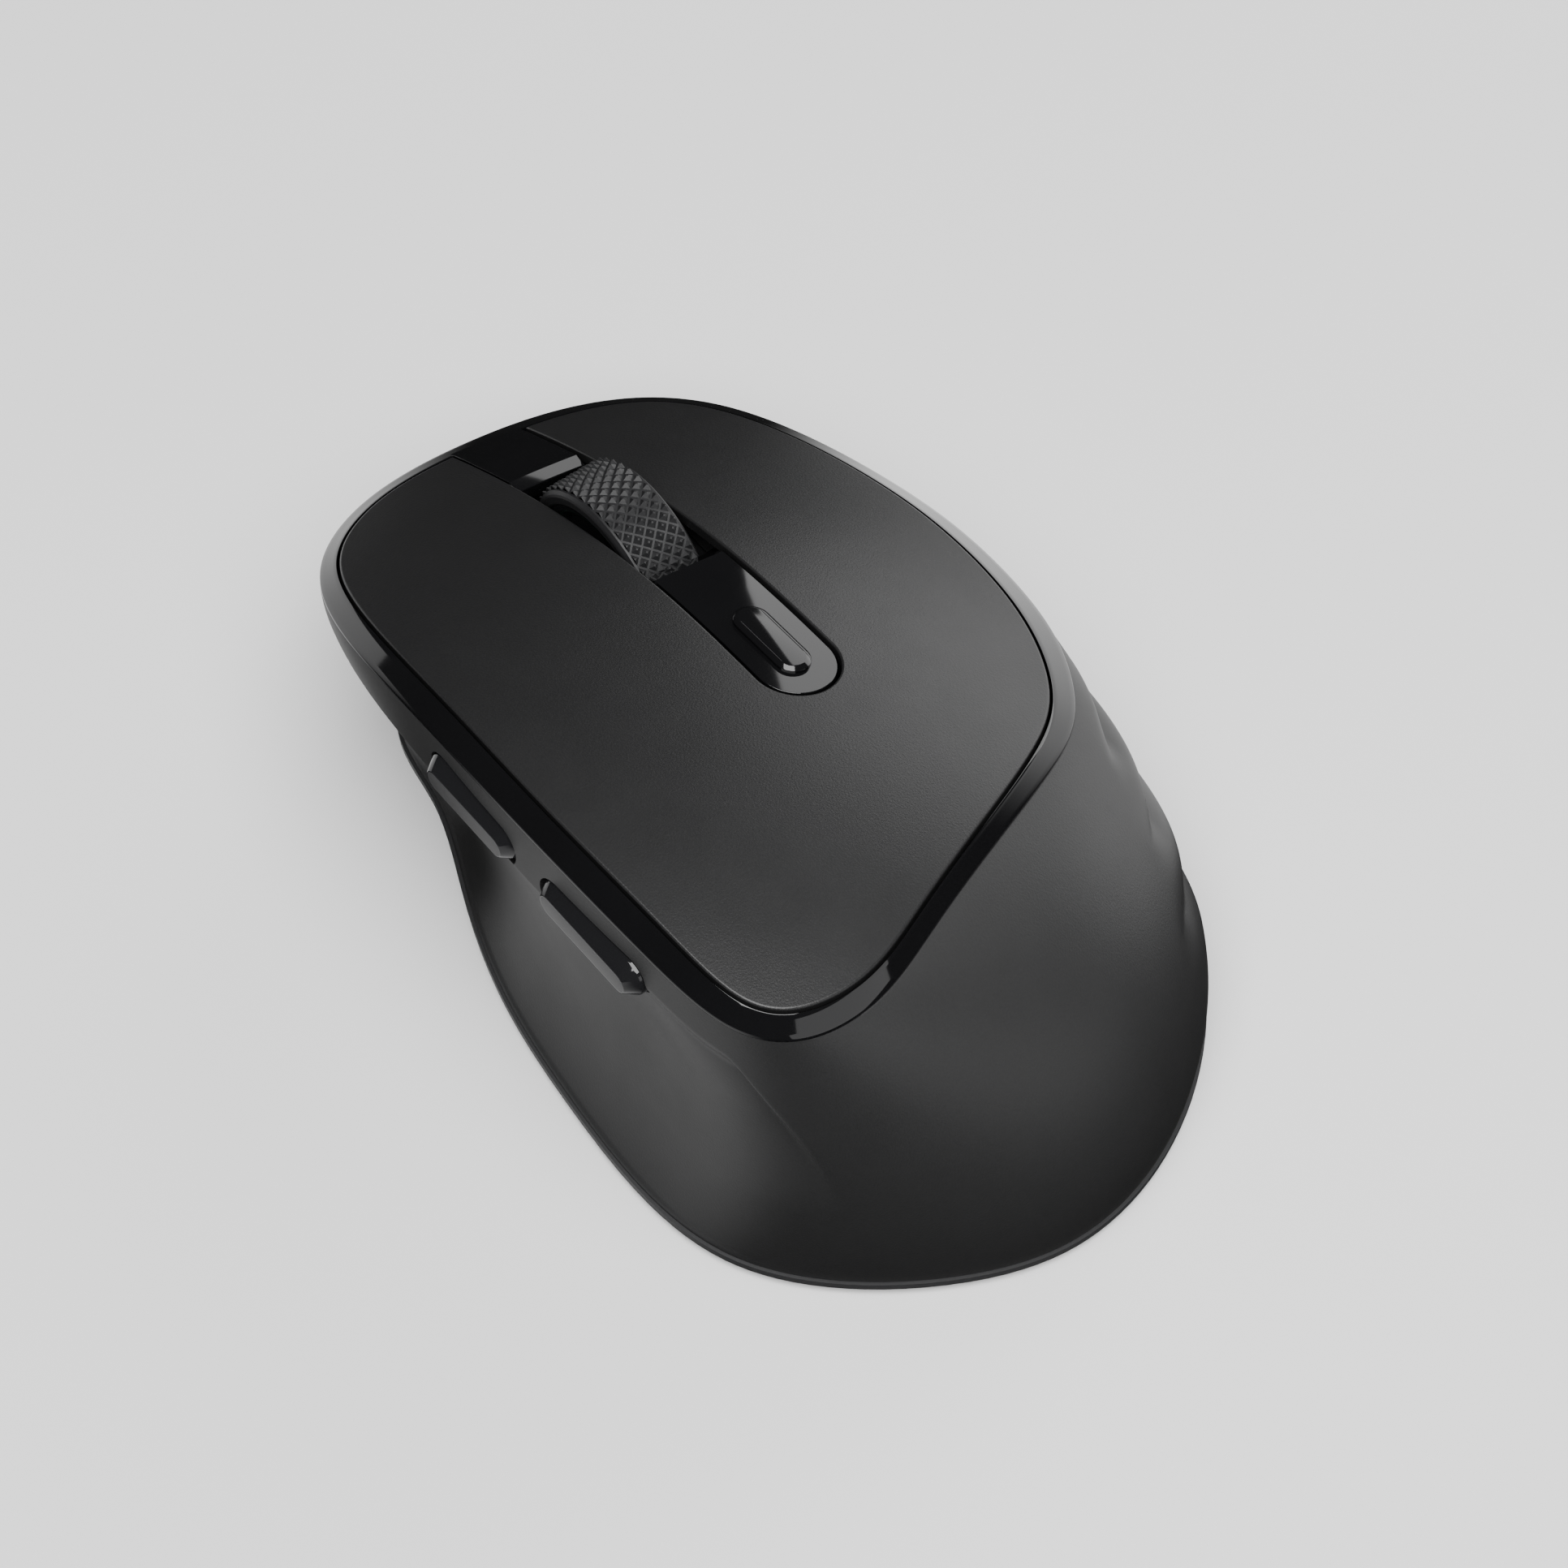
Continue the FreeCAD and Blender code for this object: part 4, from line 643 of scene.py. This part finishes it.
def hump_sheet(name, loops, height, edge, depth, spacing, material, body, stands_for=()):
    """Sheet over the hump from plan loops of (x, y, outward x, outward y), with rounded top edges.

    A point whose outward direction is zero lies on a seam, where the next sheet carries on.
    """
    turns = [math.pi / 2 * k / 4 for k in range(5)]
    borders = [np.array(loop) for loop in loops]
    flat, edges = [], []
    for border in borders:
        start, n = len(flat), len(border)
        flat += [Vector(p) for p in border[:, :2] - edge * border[:, 2:]]
        edges += [(start + k, start + (k + 1) % n) for k in range(n)]
    rim = np.array([tuple(p) for p in flat])
    low, high = rim.min(axis=0), rim.max(axis=0)
    for x in np.arange(low[0] + 0.37 * spacing, high[0], spacing):
        for y in np.arange(low[1] + 0.37 * spacing, high[1], spacing):
            if np.min((rim[:, 0] - x) ** 2 + (rim[:, 1] - y) ** 2) > (0.55 * spacing) ** 2:
                flat.append(Vector((x, y)))
    points, _, tris, origin, _, _ = delaunay_2d_cdt(flat, edges, [], 2, 0.00001)
    new_index = {k: j for j, sources in enumerate(origin) for k in sources}

    def lifted(plan, drop):
        return np.column_stack([plan, height(plan[:, 0], plan[:, 1]) - drop])

    def slope(plan):
        x, y, d = plan[:, 0], plan[:, 1], 0.01
        n = np.column_stack([height(x - d, y) - height(x + d, y), height(x, y - d) - height(x, y + d),
                             np.full(len(x), 2 * d)])
        return n / np.linalg.norm(n, axis=1)[:, None]

    plan = np.array([tuple(p) for p in points])
    verts, normals = [lifted(plan, 0.0)], [slope(plan)]
    total = len(plan)
    faces = [tuple(t) for t in tris]
    offset = 0
    for border in borders:
        n = len(border)
        seam = (border[:, 2] == 0) & (border[:, 3] == 0)
        side = np.column_stack([border[:, 2:], np.zeros(n)])
        size = np.linalg.norm(side, axis=1)[:, None]
        side = side / np.maximum(size, 0.001)
        rows = [[new_index[offset + k] for k in range(n)]]
        for a in turns[1:]:
            spot = border[:, :2] - edge * (1 - math.sin(a)) * border[:, 2:]
            verts.append(lifted(spot, edge * (1 - math.cos(a))))
            mixed = math.cos(a) * slope(spot) + math.sin(a) * side
            normals.append(mixed / np.linalg.norm(mixed, axis=1)[:, None])
            rows.append([total + k for k in range(n)])
            total += n
        verts.append(lifted(border[:, :2], depth))
        normals.append(np.where(size > 0.001, side, [[0.0, 0.0, 1.0]]))
        rows.append([total + k for k in range(n)])
        total += n
        for a, b in zip(rows, rows[1:]):
            faces += [(a[k], a[(k + 1) % n], b[(k + 1) % n], b[k]) for k in range(n)
                      if not (seam[k] and seam[(k + 1) % n])]
        offset += n
    thing = piece(name, [tuple(v) for v in np.concatenate(verts)], faces, material, body, stands_for,
                  weld=False)
    thing.data.normals_split_custom_set_from_vertices([tuple(n) for n in np.concatenate(normals)])
    return thing


def side_run(start, end, direction, step=0.6):
    """Straight stretch of a plan loop, without its last point."""
    n = max(1, int(math.dist(start, end) / step))
    return [(start[0] + (end[0] - start[0]) * k / n, start[1] + (end[1] - start[1]) * k / n, *direction)
            for k in range(n)]


STRIP_HALF, STRIP_EDGE_Y, NOSE_EDGE_Y = 4.8, 14.8, 41.3
RAMP_LENGTH, RAMP_DROP, NOSE_BEVEL_LENGTH, NOSE_BEVEL_DROP = 2.1, 1.6, 1.6, 1.1
DPI_LENGTH, DPI_WIDTH, DPI_Y = 11.4, 4.3, -0.3


def strip_height(x, y):
    return top_height(x, y) - STRIP_SINK


def ramp_height(x, y):
    return strip_height(x, y) - RAMP_DROP * (y - STRIP_EDGE_Y) / RAMP_LENGTH


def nose_height(x, y):
    return strip_height(x, y) + 0.1 * smooth((y - 49.0) / 4.0)


def nose_bevel_height(x, y):
    return strip_height(x, y) - NOSE_BEVEL_DROP * (NOSE_EDGE_Y + NOSE_BEVEL_LENGTH - y) / NOSE_BEVEL_LENGTH


def rectangle(half, y0, y1, seam_low, seam_high):
    """Plan loop of a straight stretch; a seam edge keeps its corners square."""
    low, high = (0.0, 0.0) if seam_low else (0.0, -1.0), (0.0, 0.0) if seam_high else (0.0, 1.0)
    loop = side_run((half, y1), (half, y0), (1.0, 0.0)) + side_run((half, y0), (-half, y0), low)
    return loop + side_run((-half, y0), (-half, y1), (-1.0, 0.0)) + side_run((-half, y1), (half, y1),
                                                                             high)


hole = []
for a, b in pill_loop(DPI_LENGTH + 0.7, DPI_WIDTH + 0.7):
    middle = math.copysign(min(abs(a), (DPI_LENGTH - DPI_WIDTH) / 2), a)
    size = math.hypot(a - middle, b)
    hole.append((b, DPI_Y + a, -b / size, -(a - middle) / size))
arc = [(STRIP_HALF * math.cos(a), SLOT_END_Y - STRIP_HALF * math.sin(a), math.cos(a), -math.sin(a))
       for a in np.linspace(0.0, math.pi, 49)]
strip_loop = side_run((STRIP_HALF, STRIP_EDGE_Y), (STRIP_HALF, SLOT_END_Y), (1.0, 0.0)) + arc[:-1]
strip_loop += side_run((-STRIP_HALF, SLOT_END_Y), (-STRIP_HALF, STRIP_EDGE_Y), (-1.0, 0.0))
strip_loop += side_run((-STRIP_HALF, STRIP_EDGE_Y), (STRIP_HALF, STRIP_EDGE_Y), (0.0, 0.0))
for name, loops, height in (
        ("centre_strip", [strip_loop, hole], strip_height),
        ("strip_ramp", [rectangle(STRIP_HALF, STRIP_EDGE_Y, STRIP_EDGE_Y + RAMP_LENGTH, True, False)],
         ramp_height),
        ("nose_bevel", [rectangle(STRIP_HALF, NOSE_EDGE_Y, NOSE_EDGE_Y + NOSE_BEVEL_LENGTH, False, True)],
         nose_bevel_height),
        ("nose_piece", [rectangle(STRIP_HALF, NOSE_EDGE_Y + NOSE_BEVEL_LENGTH, 55.0, True, True)],
         nose_height)):
    sheet = hump_sheet(name, loops, height, 0.12, 1.9, 0.8, RIM_GLOSS, "case")

# === DPI button ==================================================================================
# A small raised pill of the same gloss plastic, with a bevelled edge, that slides in the strip.
DPI_RINGS = ((0.0, -2.2), (0.0, 0.08), (-0.05, 0.14), (-0.5, 0.46), (-0.62, 0.49))
DPI_GLOSS = gloss("dpi gloss", (0.005, 0.005, 0.0055), (0.06, 0.11))


def dpi_cap():
    verts, faces = [], []
    for grow, lift in DPI_RINGS:
        for a, b in pill_loop(DPI_LENGTH + 2 * grow, DPI_WIDTH + 2 * grow):
            verts.append((b, DPI_Y + a, float(top_height(np.array(b), np.array(DPI_Y + a))) + lift))
    n = len(verts) // len(DPI_RINGS)
    for j in range(len(DPI_RINGS) - 1):
        faces += [(j * n + i, j * n + (i + 1) % n, (j + 1) * n + (i + 1) % n,
                   (j + 1) * n + i) for i in range(n)]
    top = (len(DPI_RINGS) - 1) * n
    faces += [(top + i, top + i + 1, top + n - 2 - i, top + n - 1 - i) for i in range(n // 2 - 1)]
    return verts, faces


dpi_piece = piece("dpi_pill", *dpi_cap(), DPI_GLOSS, "dpi_key", ["dpi_button"])
dpi_piece.data.shade_smooth()
dpi_piece.data.set_sharp_from_angle(angle=math.radians(24))

# === Top skin with both keys =====================================================================
# One thin moulding with the same soft coat: palm part behind, left and right keys either side of
# the slot. On the real part the keys bend at a thinned line behind the slot; here both halves stay
# fixed and meet on a seam along the centre line, so no joint shows on top.
SKIN_COAT = moulded("soft top coat", (0.008, 0.008, 0.0083), (0.0145, 0.0145, 0.0148), (0.34, 0.42),
                    0.5, 4200.0)


def skin_half(side):
    """Plan loop of the skin on one side of the centre line: -1 thumb side, 1 ring-finger side."""
    u = np.arange(LOOP * 14) / 14.0
    x, y = plan_loop(u, 0, 0.0)
    out = outward(u, 0)
    rows = [(float(x[k]), float(y[k]), float(out[k, 0]), float(out[k, 1])) for k in range(len(u))]
    middle = next(k for k in range(1, len(rows)) if rows[k - 1][0] > 0 >= rows[k][0] and rows[k][1] < 0)
    share = rows[middle - 1][0] / (rows[middle - 1][0] - rows[middle][0])
    rear = (0.0, rows[middle - 1][1] + share * (rows[middle][1] - rows[middle - 1][1]), *rows[middle][2:])
    outer = rows[:middle] if side > 0 else rows[middle:]
    outer = [r for r in outer if not (abs(r[0]) < SLOT_HALF + 0.4 and r[1] > 40.0) and abs(r[0]) > 0.2]
    front = (side * SLOT_HALF, 53.93)
    low = (0.0, SLOT_END_Y - SLOT_HALF, 0.0, 1.0)
    bend = [(side * SLOT_HALF * math.cos(a), SLOT_END_Y - SLOT_HALF * math.sin(a), -side * math.cos(a),
             math.sin(a))
            for a in np.linspace(0.0, math.pi / 2, 25)][:-1]
    straight = side_run(front, (side * SLOT_HALF, SLOT_END_Y), (-side, 0.0))
    straight[0] = (*front, -side, 1.0)
    seam = [(0.0, y, 0.0, 0.0) for y in np.linspace(rear[1] + 0.8, low[1] - 0.8, 28)]
    if side < 0:
        return straight + bend + [low] + seam[::-1] + [rear] + outer
    return (straight + bend + [low] + seam[::-1] + [rear] + outer[::-1])


for name, side, key in (("left_skin", -1.0, "left_key"), ("right_skin", 1.0, "right_key")):
    stands_for = ["left_button", "top_cover"] if side < 0 else ["right_button"]
    half = hump_sheet(name, [skin_half(side)], top_height, 0.3, 1.6, 1.3, SKIN_COAT, None, stands_for)
    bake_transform(half)

# === Desk, light and camera ======================================================================
# A pale desk under one large overhead box, with soft boxes to the right and behind.
# To glossy rays the desk glows as a painted dark sheet with three painted light cards on it, so polished
# parts show painted reflections.


def bearing(azimuth, elevation, distance=1.0):
    """Direction from the object: azimuth from the nose toward the ring-finger side, in degrees."""
    a, e = math.radians(azimuth), math.radians(elevation)
    return Vector((math.sin(a) * math.cos(e), math.cos(a) * math.cos(e), math.sin(e))) * distance


desk_paper = bpy.data.materials.new("pale desk")
desk_paper.use_nodes = True
desk_nodes, desk_links = desk_paper.node_tree.nodes, desk_paper.node_tree.links
desk_noise, desk_tint = desk_nodes.new("ShaderNodeTexNoise"), desk_nodes.new("ShaderNodeMix")
desk_noise.inputs["Scale"].default_value = 40.0
desk_tint.data_type = "RGBA"
desk_tint.inputs["A"].default_value = (0.88, 0.88, 0.88, 1.0)
desk_tint.inputs["B"].default_value = (0.90, 0.90, 0.90, 1.0)
desk_nodes["Principled BSDF"].inputs["Roughness"].default_value = 0.6
desk_links.new(desk_noise.outputs["Fac"], desk_tint.inputs["Factor"])
desk_links.new(desk_tint.outputs["Result"], desk_nodes["Principled BSDF"].inputs["Base Color"])
# For glossy rays the desk is an emission instead of the pale paper: painted reflections of three light cards
# on a dark sheet, glowing though the desk is no lamp. Camera and diffuse rays see the pale desk.
desk_place, desk_path = desk_nodes.new("ShaderNodeTexCoord"), desk_nodes.new("ShaderNodeLightPath")
desk_painted_reflection, desk_mix = desk_nodes.new("ShaderNodeEmission"), desk_nodes.new("ShaderNodeMixShader")
painted_card_glows = []
for azimuth, width, glow in ((80.0, 30.0, 1.5), (-16.0, 16.0, 1.2), (-95.0, 30.0, 0.9)):
    level, aim_at, card = (desk_nodes.new("ShaderNodeVectorMath"), desk_nodes.new("ShaderNodeVectorMath"),
                           desk_nodes.new("ShaderNodeMapRange"))
    level.operation, aim_at.operation = "NORMALIZE", "DOT_PRODUCT"
    aim_at.inputs[1].default_value = tuple(bearing(azimuth, 0.0))
    card.interpolation_type = "SMOOTHSTEP"
    card.inputs["From Min"].default_value = math.cos(math.radians(width + 12.0))
    card.inputs["From Max"].default_value = math.cos(math.radians(width - 8.0))
    card.inputs["To Min"].default_value, card.inputs["To Max"].default_value = 0.006, glow
    desk_links.new(desk_place.outputs["Object"], level.inputs[0])
    desk_links.new(level.outputs["Vector"], aim_at.inputs[0])
    desk_links.new(aim_at.outputs["Value"], card.inputs["Value"])
    painted_card_glows.append(card.outputs["Result"])
for k in (1, 2):
    joined = desk_nodes.new("ShaderNodeMath")
    desk_links.new(painted_card_glows[0], joined.inputs[0])
    desk_links.new(painted_card_glows[k], joined.inputs[1])
    painted_card_glows[0] = joined.outputs[0]
desk_links.new(painted_card_glows[0], desk_painted_reflection.inputs["Strength"])
desk_links.new(desk_path.outputs["Is Glossy Ray"], desk_mix.inputs["Fac"])
desk_links.new(desk_nodes["Principled BSDF"].outputs["BSDF"], desk_mix.inputs[1])
desk_links.new(desk_painted_reflection.outputs["Emission"], desk_mix.inputs[2])
desk_links.new(desk_mix.outputs["Shader"], desk_nodes["Material Output"].inputs["Surface"])
desk_mesh = bpy.data.meshes.new("desk")
desk_mesh.from_pydata([(-3, -3, 0), (3, -3, 0), (3, 3, 0), (-3, 3, 0)], [], [(0, 1, 2, 3)])
desk_mesh.materials.append(desk_paper)
desk = bpy.data.objects.new("desk", desk_mesh)
bpy.context.scene.collection.objects.link(desk)


def soft_box(name, azimuth, elevation, width, height, radiance, roll=0.0, distance=1.2):
    """Rectangular box light by the angles it spans, facing the object."""
    data = bpy.data.lights.new(name, "AREA")
    data.shape = "RECTANGLE"
    data.size = 2 * distance * math.tan(math.radians(width / 2))
    data.size_y = 2 * distance * math.tan(math.radians(height / 2))
    data.energy = radiance * math.pi * data.size * data.size_y
    lamp = bpy.data.objects.new(name, data)
    toward, across = bearing(azimuth, elevation), bearing(azimuth + 90.0, 0.0)
    upward, turn = across.cross(toward), math.radians(roll)
    axes = (-across * math.cos(turn) - upward * math.sin(turn),
            upward * math.cos(turn) - across * math.sin(turn), toward)
    lamp.rotation_euler = Matrix(axes).transposed().to_euler()
    lamp.location = toward * distance + Vector((0, 0, 0.03))
    bpy.context.scene.collection.objects.link(lamp)


soft_box("overhead box", 215, 66, 50, 50, 9.0)
soft_box("right box", 80, 19, 59.5, 35, 3.0, -37.0)
soft_box("rear box", 166, 10, 62, 24, 1.3)
world = bpy.data.worlds.new("room")
world.use_nodes = True
world.node_tree.nodes["Background"].inputs["Color"].default_value = (1.0, 1.0, 1.0, 1.0)
world.node_tree.nodes["Background"].inputs["Strength"].default_value = 0.04
bpy.context.scene.world = world

BACK = Vector((-0.3619, -0.4632, 0.8090))
RIGHT = Vector((0.7880, -0.6157, 0.0))
UP = Vector((0.4981, 0.6375, 0.5878))
camera_data = bpy.data.cameras.new("camera")
camera_data.lens, camera_data.sensor_width = 113.0, 36.0
camera_data.clip_start, camera_data.clip_end = 0.01, 20.0
camera = bpy.data.objects.new("camera", camera_data)
bpy.context.scene.collection.objects.link(camera)
aim = Vector((0.0, 0.0023, 0.020)) + RIGHT * 0.001495 - UP * 0.002178
camera.location = aim + BACK * 0.560
camera.rotation_euler = BACK.to_track_quat("Z", "Y").to_euler()
bpy.context.scene.camera = camera
